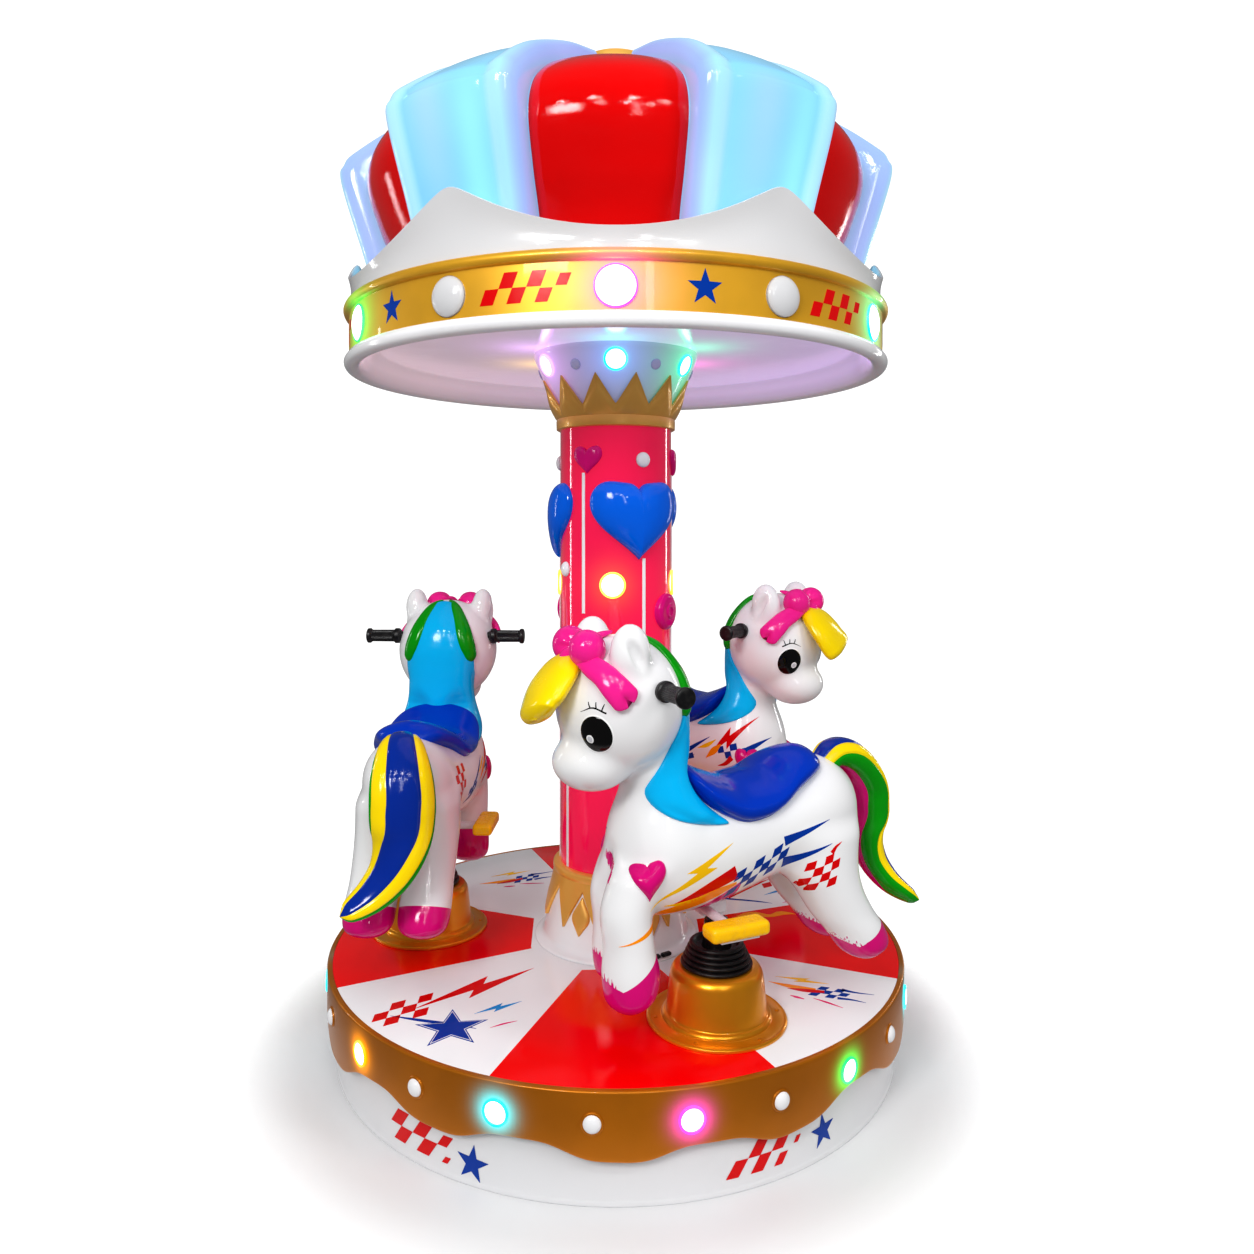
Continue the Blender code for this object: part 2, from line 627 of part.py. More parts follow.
def handlebar():
    """Steel bar through the head with a black grip at each end."""
    stations = ((-GRIP_OUT, GRIP_R), (-GRIP_IN - 0.006, GRIP_R), (-GRIP_IN - 0.006, FLANGE_R),
                (-GRIP_IN, FLANGE_R), (-GRIP_IN, BAR_R))
    stations = stations + tuple((-v, r) for v, r in reversed(stations))
    rings = []
    for v, radius in stations:
        rings.append([(BAR_U + radius * math.cos(a), v, BAR_Z + radius * math.sin(a))
                      for a in (2.0 * math.pi * i / 10 for i in range(10))])
    return loft("handlebar", rings, RUBBER)


def footrest():
    """Shaft that carries the pony, with the crossbar and the two pedals."""
    profile = ((0.0, 0.300), (SHAFT_R, 0.300), (SHAFT_R, SHAFT_FOOT), (0.0, SHAFT_FOOT))
    made = settle(turned("footrest", profile, YELLOW, 16))
    bar = cone_along((0.0, 1.0, 0.0), (0.0, 0.0, PEDAL_AT[2] - 0.004), CROSSBAR_R, CROSSBAR_R,
                     CROSSBAR_LENGTH, 10)
    combine(made, bar, "UNION")
    for side in (1.0, -1.0):
        bm = bmesh.new()
        bmesh.ops.create_cube(bm, size=1.0)
        bmesh.ops.scale(bm, vec=PEDAL, verts=bm.verts)
        bmesh.ops.bevel(bm, geom=list(bm.edges), offset=0.006, segments=1, affect="EDGES")
        bmesh.ops.translate(bm, vec=mirrored(PEDAL_AT, side), verts=bm.verts)
        combine(made, mesh_object("pedal", bm, YELLOW), "UNION")
    return fit_to_pony(made)


def ponies():
    pieces = {"body": pony_body(), "saddle": saddle(), "mane": fit_to_pony(mane()), "bow": bow(),
              "tail": tail(), "handlebar": handlebar(), "footrest": footrest()}
    for number, (bearing, yaw, rise) in enumerate(zip(PONY_ANGLES, PONY_YAW, PONY_RISE), 1):
        stand = polar(PONY_RADIUS, math.radians(bearing), DECK_TOP)
        turn = Matrix.Rotation(math.radians(bearing + yaw), 4, "Z")
        place = Matrix.Translation(stand) @ turn
        pot(number, place)
        bellows(number, place, rise)
        for name, piece in pieces.items():
            copy = bpy.data.objects.new("pony_%d_%s" % (number, name), piece.data)
            copy.matrix_world = Matrix.Translation((0.0, 0.0, rise)) @ place
            PARTS.objects.link(copy)
    for piece in pieces.values():
        bpy.data.objects.remove(piece, do_unlink=True)


clear_scene()
PARTS = collection("carousel")
WHITE = material("white_fibreglass", (0.85, 0.85, 0.87), 0.25)
RED = material("red_gloss", (0.78, 0.01, 0.01), 0.15)
GOLD = material("gold_paint", (0.60, 0.30, 0.06), 0.30, 0.8)
PINK = material("lit_column", (0.90, 0.02, 0.10), 0.20)
BLUE_GLOW = material("lit_lantern", (0.30, 0.65, 1.0), 0.30)
BLUE_HEART = material("blue_heart", (0.0, 0.12, 0.60), 0.20)
RUBBER = material("black_rubber", (0.01, 0.01, 0.01), 0.50)
YELLOW = material("yellow_plastic", (0.95, 0.60, 0.0), 0.30)
SADDLE = material("saddle_blue", (0.01, 0.05, 0.38), 0.30)
HAIR = material("hair_blue", (0.0, 0.45, 0.90), 0.30)
BOW_PINK = material("bow_pink", (0.80, 0.04, 0.30), 0.30)

base_drum()
deck()
apron()
column_parts()
hearts()
canopy_ceiling()
canopy_band()
crown_skirt()
lantern_shell()
red_panels()
gold_cap()
ponies()
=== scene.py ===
"""Looks of a three-seat fairground carousel, laid out as an add-on and run as a script."""

import math

import bmesh
import bpy
import numpy as np
from mathutils import Matrix, Vector
from mathutils.bvhtree import BVHTree


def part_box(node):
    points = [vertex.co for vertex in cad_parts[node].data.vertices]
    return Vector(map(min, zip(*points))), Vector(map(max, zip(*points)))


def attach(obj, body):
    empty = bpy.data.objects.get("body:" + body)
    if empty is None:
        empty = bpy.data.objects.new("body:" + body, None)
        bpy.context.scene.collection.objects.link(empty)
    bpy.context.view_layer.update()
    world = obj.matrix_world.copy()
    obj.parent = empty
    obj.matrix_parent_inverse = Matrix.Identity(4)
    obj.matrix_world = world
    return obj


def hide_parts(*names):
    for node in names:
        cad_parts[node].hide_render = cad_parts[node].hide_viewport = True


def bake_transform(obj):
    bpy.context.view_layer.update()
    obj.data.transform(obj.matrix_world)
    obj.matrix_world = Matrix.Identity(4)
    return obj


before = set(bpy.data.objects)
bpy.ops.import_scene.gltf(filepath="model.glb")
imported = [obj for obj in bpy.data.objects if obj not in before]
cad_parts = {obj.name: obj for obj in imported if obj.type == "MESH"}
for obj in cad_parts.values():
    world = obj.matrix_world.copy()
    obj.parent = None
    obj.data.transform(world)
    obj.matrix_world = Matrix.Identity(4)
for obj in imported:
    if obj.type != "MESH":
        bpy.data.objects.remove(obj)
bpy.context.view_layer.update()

bl_info = {
    "name": "Three-seat carousel",
    "version": (1, 0, 0),
    "blender": (4, 5, 0),
    "location": "3D View > Sidebar > Carousel",
    "description": "Builds the finish of a lit three-seat carousel round its frame",
    "category": "Add Mesh",
}

TOUCH = 0.0003                    # clearance that the frame keeps between pieces
DECAL_LIFT = 0.0005
OVERPRINT = 0.0003                # how much higher a sticker lies on another
DECAL_SINK = 0.0001               # how far a sticker's foot reaches into what it lies on
SPARKLE = 0.05                    # share of a flake's spark that shows in gold paint
BEARING_HEIGHT, BEARING_RADIUS = 0.0157, 0.2     # the boss on the drum that carries the deck
CONE_TOP, CONE_FOOT, CONE_LOW = 0.1505, 0.183, 0.012   # radii, and the foot's height on the deck
TOOTH_VALLEY, DROP_MIDDLE = 0.375, 0.315     # heights of the collar's tooth valleys and drops
DRUM_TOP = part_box("base_drum")[1].z
DECK_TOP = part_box("deck")[1].z
COLLAR_LOW, COLLAR_TOP = (corner.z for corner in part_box("lower_collar"))
COLUMN_LOW, COLUMN_TOP = (corner.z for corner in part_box("column"))
LEAF_RING_LOW, LEAF_TOP = (corner.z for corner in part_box("upper_collar"))
BOWL_LOW, BOWL_TOP = (corner.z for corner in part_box("upper_bowl"))
RIM_LOW, CEILING_TOP = (corner.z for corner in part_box("canopy_ceiling"))
BAND_LOW, BEAD_TOP = (corner.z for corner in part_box("canopy_band"))
CAP_LOW, CAP_TOP = (corner.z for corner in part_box("gold_cap"))

# Rows of lamps are named by their colour, counter-clockwise from the first one.
LAMP_COLOURS = {
    "orange": (1.0, 0.33, 0.0), "cyan": (0.0, 0.85, 0.95), "pink": (1.0, 0.05, 0.55),
    "green": (0.0, 1.0, 0.12), "yellow": (1.0, 0.62, 0.05), "violet": (0.75, 0.35, 1.0),
    "mint": (0.0, 1.0, 0.45),
}
# Lamp colours painted as light round each lamp on the white bowl, with cyan bluer and pink paler.
BOWL_PAINTED_GLOW = {name: tuple(0.6 * v for v in colour)
             for name, colour in dict(LAMP_COLOURS, cyan=(0.14, 0.30, 1.0), pink=(1.0, 0.5, 0.85)).items()}
APRON_LAMPS = ("cyan", "pink", "green", "cyan", "pink", "orange", "green", "cyan", "pink",
               "green", "cyan", "orange")
APRON_LAMP_START, APRON_DOME_START = -18.5, -3.5
APRON_LAMP_Z = 0.166
COLUMN_LAMPS, COLUMN_LAMP_START, COLUMN_LAMP_Z = ("yellow",) * 4, -3.0, 1.108
BAND_LAMPS = ("pink", "mint", "cyan", "pink", "cyan", "green")
BAND_LAMP_Z = 1.695
BOWL_LAMPS = ("cyan", "mint", "pink", "cyan", "yellow", "violet")
BOWL_LAMP_Z = 1.640

# Turned profiles are points of radius and height.
RED_PROFILE = ((0.520, 1.6903), (0.539, 1.848), (0.578, 1.950), (0.605, 2.050),
               (0.577, 2.128), (0.500, 2.190), (0.420, 2.227), (0.280, 2.296), (0.150, 2.368))
LOBE_PROFILE = ((0.575, 1.6903), (0.588, 1.780), (0.616, 1.890), (0.671, 2.072),
                (0.665, 2.118), (0.636, 2.152), (0.520, 2.232), (0.330, 2.322), (0.150, 2.385))
SHELL_INSIDE = ((0.142, 2.340), (0.400, 2.215), (0.575, 2.050), (0.510, 1.840), (0.500, 1.6903))
# Bearings of the painted deck sectors' borders, and which of the sectors are red.
SECTOR_BORDERS = (-157.0, -111.0, -64.0, -20.0, 26.0, 68.0, 110.0, 150.0, 203.0)
SECTOR_RED = (False, True, False, True, False, True, False, True)
HEART_BEARINGS = (23.0, 143.0, -97.0)


def srgb(red, green, blue):
    """Linear colour from screen values out of 255."""
    return tuple((value / 255.0) ** 2.2 for value in (red, green, blue))


def size(name, description, default):
    return bpy.props.FloatProperty(name=name, description=description, default=default,
                                   min=0.0, unit="LENGTH", precision=4)


def finish_colour(name, description, *screen):
    return bpy.props.FloatVectorProperty(name=name, description=description, size=3, min=0.0,
                                         max=1.0, subtype="COLOR", default=srgb(*screen))


class CarouselSizes(bpy.types.PropertyGroup):
    deck_radius: size("Deck radius", "Outside of the gold apron round the deck", 0.700)
    apron_thick: size("Apron thickness", "Wall of the gold apron", 0.012)
    hem_height: size("Hem height", "Middle height of the apron's wavy hem", 0.110)
    hem_wave: size("Hem wave", "How far the hem's drips swing up and down", 0.015)
    skirt_foot: size("Skirt foot radius", "Radius of the white skirt at the ground", 0.679)
    skirt_top: size("Skirt top radius", "Radius of the white skirt below the deck", 0.674)
    column_radius: size("Column radius", "Outside of the lit column", 0.140)
    heart_width: size("Heart width", "Width of the large puffy hearts", 0.240)
    heart_height: size("Heart height", "Height of the large puffy hearts", 0.188)
    heart_depth: size("Heart depth", "How far the large hearts stand off the column", 0.033)
    heart_middle: size("Heart middle", "Height of the large hearts' middle", 1.263)
    band_radius: size("Band radius", "Outside of the canopy's gold band", 0.651)
    crown_valley: size("Crown valley", "Height of the crown's valleys", 1.807)
    crown_peak: size("Crown peak", "Height of the crown's peaks", 1.907)
    pony_radius: size("Pony radius", "Distance of the pots from the axis", 0.478)


class CarouselColours(bpy.types.PropertyGroup):
    white: finish_colour("White", "Moulded white shells", 240, 240, 242)
    red: finish_colour("Red", "Deck and roof panels", 244, 2, 10)
    column: finish_colour("Column", "Lit column", 245, 14, 82)
    apron: finish_colour("Apron gold", "Gold round the deck", 204, 122, 10)
    canopy_gold: finish_colour("Canopy gold", "Gold band of the canopy", 240, 180, 50)
    pot_gold: finish_colour("Pot gold", "Gold pots", 246, 164, 36)
    collar_gold: finish_colour("Collar gold", "Collars of the column", 250, 190, 95)
    lantern: finish_colour("Lantern", "Lit lobes of the canopy", 150, 215, 255)
    lantern_edge: finish_colour("Lantern edge", "Rims of the lit lobes", 176, 176, 255)
    heart_blue: finish_colour("Heart blue", "Large hearts", 0, 104, 226)
    magenta: finish_colour("Magenta", "Small hearts, hooves and buttons", 214, 18, 122)
    decal_red: finish_colour("Decal red", "Red stickers", 215, 0, 15)
    decal_blue: finish_colour("Decal blue", "Blue stickers", 0, 62, 155)
    pedal: finish_colour("Pedal", "Yellow pedals", 255, 196, 0)
    pony: finish_colour("Pony white", "Bodies of the ponies", 240, 240, 241)
    saddle: finish_colour("Saddle", "Moulded saddles", 0, 62, 182)
    mane: finish_colour("Mane", "Light-blue hair", 0, 186, 246)
    green: finish_colour("Green", "Green hair", 0, 150, 18)
    yellow: finish_colour("Yellow", "Yellow hair", 255, 222, 0)
    bow: finish_colour("Bow", "Pink bows", 240, 44, 146)


def polar(radius, bearing, height):
    """A point at a bearing in degrees from the front, counter-clockwise from above."""
    angle = math.radians(bearing - 90.0)
    return Vector((radius * math.cos(angle), radius * math.sin(angle), height))


def tipped(tilt):
    """Tip a part that faces -Y upwards, in degrees."""
    return Matrix.Rotation(math.radians(-tilt), 4, "X")


def spline(points, count):
    """Points along a smooth curve through the given ones."""
    rows = np.array(points, float)
    padded = np.vstack((2.0 * rows[0] - rows[1], rows, 2.0 * rows[-1] - rows[-2]))
    at = np.linspace(0.0, len(rows) - 1.0, count)
    first = np.minimum(at.astype(int), len(rows) - 2)
    t = (at - first)[:, None]
    a, b, c, d = (padded[first + k] for k in range(4))
    return 0.5 * (2.0 * b + (c - a) * t + (2.0 * a - 5.0 * b + 4.0 * c - d) * t ** 2
                  + (3.0 * b - 3.0 * c + d - a) * t ** 3)


def curve(points, count):
    """The same curve as a list of tuples."""
    return [tuple(point) for point in spline(points, count)]


def rounded(points, radius, closed=False, steps=5):
    """Round the corners of a profile. The radius is one number, or one for each point."""
    rows = [Vector(point) for point in points]
    radii = radius if isinstance(radius, (list, tuple)) else [radius] * len(rows)
    made = []
    for k, (corner, reach) in enumerate(zip(rows, radii)):
        if (not closed and k in (0, len(rows) - 1)) or reach == 0.0:
            made.append(tuple(corner))
            continue
        before, after = rows[k - 1] - corner, rows[(k + 1) % len(rows)] - corner
        start = corner + before.normalized() * min(reach, before.length * 0.49)
        end = corner + after.normalized() * min(reach, after.length * 0.49)
        for i in range(steps + 1):
            t = i / steps
            made.append(tuple(start.lerp(corner, t).lerp(corner.lerp(end, t), t)))
    return made


def inset(profile, depth):
    """Move a profile's points square to it, towards the axis side."""
    rows = np.array(profile, float)
    along = np.gradient(rows, axis=0)
    along /= np.linalg.norm(along, axis=1)[:, None]
    return rows + np.stack((-along[:, 1], along[:, 0]), 1) * np.reshape(depth, (-1, 1))


def in_scene(name, data):
    """A new object for a mesh, a lamp or a camera, linked to the scene."""
    obj = bpy.data.objects.new(name, data)
    bpy.context.scene.collection.objects.link(obj)
    return obj


def piece(name, bm, finishes, sharp=40.0):
    """Turn a bmesh into a smooth-shaded object. Its finishes are materials or their names."""
    mesh = bpy.data.meshes.new(name)
    bm.to_mesh(mesh)
    bm.free()
    mesh.shade_smooth()
    if sharp:
        mesh.set_sharp_from_angle(angle=math.radians(sharp))
    for finish in finishes if isinstance(finishes, (list, tuple)) else (finishes,):
        mesh.materials.append(FINISH.get(finish, finish))
    return in_scene(name, mesh)


def skin(name, rows, finish, around=True, along=False, caps=False, sharp=40.0):
    """A mesh over rows of points. around joins each row's ends, along the last row to the first."""
    bm = bmesh.new()
    loops = [[bm.verts.new(point) for point in row] for row in rows]
    following = loops[1:] + loops[:1] if along else loops[1:]
    for low, high in zip(loops, following):
        count = len(low)
        for i in range(count if around else count - 1):
            j = (i + 1) % count
            bm.faces.new((low[i], low[j], high[j], high[i]))
    if caps:
        bm.faces.new(loops[0])
        bm.faces.new(loops[-1])
    bmesh.ops.remove_doubles(bm, verts=bm.verts, dist=0.000001)
    bmesh.ops.dissolve_degenerate(bm, edges=bm.edges, dist=0.000001)
    bmesh.ops.recalc_face_normals(bm, faces=bm.faces)
    return piece(name, bm, finish, sharp)


def stood(section, bearing):
    """A section of radius and height, stood up at a bearing."""
    return [polar(r, bearing, z) for r, z in section]


def turned(name, profile, finish, steps=144, closed=False, sharp=40.0):
    """Turn a profile of radius and height about the axis."""
    rows = [stood(profile, 360.0 * k / steps) for k in range(steps)]
    return skin(name, rows, finish, around=closed, along=True, sharp=sharp)


def button_profile(radius, height, lip=0.0):
    """Profile of a domed button from its middle to its foot, with a flat lip round it."""
    dome = [(radius * math.sin(a), height * math.cos(a)) for a in np.linspace(0.0, math.pi / 2, 12)]
    return dome + ([(radius, lip), (radius, -0.002)] if lip else [(radius, -0.002)])


def spun(profile, steps):
    """Rows of a profile of radius and height, spun about the axis that faces -Y."""
    turns = [2.0 * math.pi * k / steps for k in range(steps)]
    return [[(r * math.cos(angle), -h, r * math.sin(angle)) for r, h in profile] for angle in turns]


def button(name, profile, finish, steps=40, sharp=40.0):
    """A turned button that faces -Y, its foot closed by a flat back."""
    rows = spun([*profile, (0.0, profile[-1][1])], steps)
    return skin(name, rows, finish, around=False, along=True, sharp=sharp)


def put(obj, place):
    """Move an object's mesh to its place, and leave the object at the origin."""
    obj.data.transform(place)
    return obj


def join(name, parts):
    """One object from several, each keeping its material."""
    bm = bmesh.new()
    finishes = []
    for part in parts:
        start = len(bm.faces)
        bm.from_mesh(part.data)
        bm.faces.ensure_lookup_table()
        finish = part.data.materials[0]
        if finish not in finishes:
            finishes.append(finish)
        if len(part.data.materials) == 1:
            for face in bm.faces[start:]:
                face.material_index = finishes.index(finish)
        bpy.data.objects.remove(part, do_unlink=True)
    return piece(name, bm, finishes, sharp=None)


def settled(obj):
    """Replace an object's mesh by its evaluated one, and drop its modifiers."""
    bpy.context.view_layer.update()
    graph = bpy.context.evaluated_depsgraph_get()
    mesh = bpy.data.meshes.new_from_object(obj.evaluated_get(graph))
    obj.modifiers.clear()
    obj.data = mesh
    return obj


def mount(obj, body, slot, *nodes):
    """Let a finished piece ride on its body and stand for frame nodes. Its slot is not used."""
    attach(obj, body)
    if nodes:
        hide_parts(*nodes)
    return obj


def paint_points(obj, name, colours):
    """Write a colour for each vertex into a named attribute."""
    layer = obj.data.color_attributes.new(name, "FLOAT_COLOR", "POINT")
    values = np.ones((len(obj.data.vertices), 4), np.float32)
    values[:, :3] = colours
    layer.data.foreach_set("color", values.ravel())


def vertices(obj):
    found = np.empty(len(obj.data.vertices) * 3, np.float32)
    obj.data.vertices.foreach_get("co", found)
    return found.reshape(-1, 3).astype(float)


def lamp_places(names, start, radius, height, colours=None):
    """Where a ring of lamps sits, with each lamp's colour."""
    step = 360.0 / len(names)
    return [(polar(radius, start + step * k, height), (colours or LAMP_COLOURS)[name])
            for k, name in enumerate(names)]


def halo(obj, lamps, reach, inner=0.0):
    """Store the coloured light that lamps spill on a piece as its glow attribute."""
    points = vertices(obj)
    glow = np.zeros((len(points), 3))
    for place, colour in lamps:
        away = np.linalg.norm(points - np.array(place), axis=1)
        share = np.exp(-(np.maximum(away - inner, 0.0) / reach) ** 1.3)
        glow += share[:, None] * np.array(colour)
    paint_points(obj, "glow", glow)


def tint_by_lamp(obj, lamps):
    """Give each lamp of a joined ring its own colour as the tint attribute."""
    points = vertices(obj)
    places = np.array([place for place, _ in lamps])
    colours = np.array([colour for _, colour in lamps])
    nearest = np.argmin(np.linalg.norm(points[:, None] - places[None], axis=2), axis=1)
    paint_points(obj, "tint", colours[nearest])


def add(tree, kind, inputs=None, **settings):
    """Add a node, set its properties, and fill its inputs with values or links."""
    node = tree.nodes.new(kind)
    for key, value in settings.items():
        setattr(node, key, value)
    for key, value in (inputs or {}).items():
        if isinstance(value, bpy.types.NodeSocket):
            tree.links.new(value, node.inputs[key])
        else:
            node.inputs[key].default_value = value
    return node


def feed(tree, node, **values):
    """Link values to a node's inputs by their names, with _ for a space."""
    for key, value in values.items():
        tree.links.new(value, node.inputs[key.replace("_", " ")])


def blend_colour(tree, factor, first, second, kind="MIX"):
    """Mix two colours, each a value or a link."""
    first, second = ((*v, 1.0) if isinstance(v, (tuple, list)) else v for v in (first, second))
    mixer = add(tree, "ShaderNodeMix", {0: factor, 6: first, 7: second}, data_type="RGBA",
                blend_type=kind)
    return mixer.outputs[2]


def math_node(tree, operation, *values):
    return add(tree, "ShaderNodeMath", dict(enumerate(values)), operation=operation).outputs[0]


def spread(tree, value, low, high, to_low=0.0, to_high=1.0):
    """Map a range of a value to another, smoothly and clamped."""
    return add(tree, "ShaderNodeMapRange", {0: value, 1: low, 2: high, 3: to_low, 4: to_high},
               interpolation_type="SMOOTHSTEP").outputs[0]


def place_on(tree):
    """Each point's place in its object's own coordinates."""
    return add(tree, "ShaderNodeTexCoord").outputs["Object"]


def stretched(tree, place, scale):
    return add(tree, "ShaderNodeMapping", {"Vector": place, "Scale": scale}).outputs[0]


def noise(tree, place, scale, detail=2.0, rough=0.5):
    return add(tree, "ShaderNodeTexNoise", {"Vector": place, "Scale": scale, "Detail": detail,
                                            "Roughness": rough}).outputs["Fac"]


def stored(tree, name, output="Color"):
    """What is stored on the piece under a name, such as the light that lamps spill on it."""
    return add(tree, "ShaderNodeAttribute", attribute_name=name).outputs[output]


def new_group(name, kind, inputs, outputs):
    """A node group with named sockets, what its input node gives, and its output node."""
    tree = bpy.data.node_groups.new(name, kind)
    for label, socket, default in inputs:
        made = tree.interface.new_socket(name=label, in_out="INPUT", socket_type="NodeSocket" + socket)
        if default is not None:
            made.default_value = default
    for label, socket in outputs:
        tree.interface.new_socket(name=label, in_out="OUTPUT", socket_type="NodeSocket" + socket)
    return tree, tree.nodes.new("NodeGroupInput").outputs, tree.nodes.new("NodeGroupOutput")


def gelcoat_group():
    """Surface of hand-laid gloss shells: slow waves, fine orange peel, wiped smudges and clouding."""
    tree, given, out = new_group(
        "Gelcoat surface", "ShaderNodeTree",
        (("Wave Scale", "Float", 7.0), ("Peel Scale", "Float", 420.0), ("Peel", "Float", 0.12)),
        (("Height", "Float"), ("Smudge", "Float"), ("Cloud", "Float")))
    place = place_on(tree)
    wave = noise(tree, place, given["Wave Scale"], 1.0)
    peel = noise(tree, place, given["Peel Scale"], 0.0)
    smudge = noise(tree, stretched(tree, place, (9.0, 9.0, 30.0)), 1.0, 4.0, 0.6)
    feed(tree, out, Height=math_node(tree, "MULTIPLY_ADD", peel, given["Peel"], wave),
         Smudge=spread(tree, smudge, 0.35, 0.75), Cloud=spread(tree, noise(tree, place, 3.5), 0.3, 0.7))


def flake_group():
    """Flakes of metallic paint: cells that catch the light unevenly."""
    tree, given, out = new_group("Metal flake", "ShaderNodeTree", (("Scale", "Float", 900.0),),
                                 (("Flake", "Float"), ("Cloud", "Float")))
    place = place_on(tree)
    cells = add(tree, "ShaderNodeTexVoronoi", {"Vector": place, "Scale": given["Scale"]})
    feed(tree, out, Flake=add(tree, "ShaderNodeSeparateColor", {0: cells.outputs["Color"]}).outputs[0],
         Cloud=spread(tree, noise(tree, place, 5.0, 3.0), 0.3, 0.7))


def scuff_group():
    """Fine scratches and grain of handled plastic and rubber."""
    tree, given, out = new_group("Handled plastic", "ShaderNodeTree",
                                 (("Grain Scale", "Float", 700.0),),
                                 (("Height", "Float"), ("Scuff", "Float")))
    place = place_on(tree)
    feed(tree, out, Height=noise(tree, place, given["Grain Scale"]),
         Scuff=spread(tree, noise(tree, place, 60.0, 6.0, 0.7), 0.45, 0.7))


def group_node(tree, group, **values):
    node = add(tree, "ShaderNodeGroup", node_tree=bpy.data.node_groups[group])
    for key, value in values.items():
        node.inputs[key.replace("_", " ")].default_value = value
    return node.outputs


def shaded(name, rough, metallic=0.0, coat=0.0, strength=0.0, sheen=0.5):
    """A material whose constants are set on its shader, with that shader and its tree."""
    made = bpy.data.materials.new(name)
    made.use_nodes = True
    shader = made.node_tree.nodes["Principled BSDF"]
    for key, value in (("Roughness", rough), ("Metallic", metallic), ("Coat Weight", coat),
                       ("Coat Roughness", 0.04), ("Emission Strength", strength),
                       ("Specular IOR Level", sheen)):
        shader.inputs[key].default_value = value
    return made, shader, made.node_tree


def relief(tree, shader, height, distance):
    bump = add(tree, "ShaderNodeBump", {"Height": height, "Distance": distance, "Strength": 1.0})
    feed(tree, shader, Normal=bump.outputs[0])


def scaled(colour, share):
    """A colour made darker by a share of it."""
    return tuple(value * share for value in colour)


def clouded(tree, surface, colour, shade):
    """A colour that clouds over to a darker share of itself."""
    return blend_colour(tree, surface["Cloud"], scaled(colour, shade), tuple(colour))


def gloss(name, colour, rough=0.07, wave=0.0006, shade=0.90, glow=0.0, sheen=0.4):
    """Gloss paint over moulded shell, with the light that lamps spill on it."""
    made, shader, tree = shaded(name, rough, strength=glow, sheen=sheen)
    surface = group_node(tree, "Gelcoat surface")
    feed(tree, shader, Base_Color=clouded(tree, surface, colour, shade),
         Roughness=spread(tree, surface["Smudge"], 0.0, 1.0, rough, rough * 2.0 + 0.04))
    relief(tree, shader, surface["Height"], wave)
    if glow:
        feed(tree, shader, Emission_Color=stored(tree, "glow"))
    return made


def gold_paint(name, colour, rough, metallic, glow=0.0):
    """Metallic gold lacquer: flakes under a clear coat."""
    made, shader, tree = shaded(name, rough, metallic=metallic, coat=0.3, strength=glow)
    flakes = group_node(tree, "Metal flake")
    spark = tuple(min(value * 1.25 + 0.02, 1.0) for value in colour)
    lit = math_node(tree, "MULTIPLY", flakes["Flake"], SPARKLE)
    feed(tree, shader, Base_Color=blend_colour(tree, lit, clouded(tree, flakes, colour, 0.82), spark),
         Roughness=spread(tree, flakes["Flake"], 0.0, 1.0, rough * 0.97, rough * 1.03))
    relief(tree, shader, group_node(tree, "Gelcoat surface")["Height"], 0.0005)
    if glow:
        feed(tree, shader, Emission_Color=stored(tree, "glow"))
    return made


def lit_plastic(name, base, strength, rough=0.12, coat=0.3):
    """Translucent plastic lit from inside. Its light is stored on the piece."""
    made, shader, tree = shaded(name, rough, coat=coat, strength=strength)
    surface = group_node(tree, "Gelcoat surface")
    haze = blend_colour(tree, surface["Cloud"], (0.86, 0.92, 0.97), (1.0, 1.0, 1.0))
    feed(tree, shader, Base_Color=clouded(tree, surface, base, 0.9),
         Emission_Color=blend_colour(tree, 1.0, stored(tree, "lit"), haze, "MULTIPLY"))
    relief(tree, shader, surface["Height"], 0.0008)
    return made


def lamp_core():
    """White-hot middle of a lamp lens, a little cooler towards its prisms."""
    made, shader, tree = shaded("lamp_core", 0.2, strength=1.7)
    prisms = add(tree, "ShaderNodeTexVoronoi", {"Vector": place_on(tree), "Scale": 260.0})
    cells = prisms.outputs["Distance"]
    feed(tree, shader, Emission_Color=blend_colour(tree, cells, (1.0, 1.0, 1.0), (0.93, 0.97, 1.0)))
    relief(tree, shader, cells, 0.0004)
    return made


def lamp_ring():
    """Coloured ring of a lamp, tinted lamp by lamp."""
    made, shader, tree = shaded("lamp_ring", 0.25, strength=1.3)
    tint = stored(tree, "tint")
    paler = spread(tree, noise(tree, place_on(tree), 14.0), 0.3, 0.7, 0.0, 0.10)
    feed(tree, shader, Base_Color=tint, Emission_Color=blend_colour(tree, paler, tint, (1.0, 1.0, 1.0)))
    return made


def handled(name, rough, clean, rubbed, span, grain_depth, grain=700.0):
    """Plastic or rubber that shoes and hands rub. span is its roughness from clean to rubbed."""
    made, shader, tree = shaded(name, rough)
    scuffs = group_node(tree, "Handled plastic", Grain_Scale=grain)
    feed(tree, shader, Base_Color=blend_colour(tree, scuffs["Scuff"], tuple(clean), tuple(rubbed)),
         Roughness=spread(tree, scuffs["Scuff"], 0.0, 1.0, *span))
    relief(tree, shader, scuffs["Height"], grain_depth)
    return made


def film(name, colour):
    """Printed sticker film."""
    made, shader, tree = shaded(name, 0.2, sheen=0.25)
    surface = group_node(tree, "Gelcoat surface", Wave_Scale=30.0)
    feed(tree, shader, Base_Color=clouded(tree, surface, colour, 0.9))
    relief(tree, shader, surface["Height"], 0.0003)
    return made


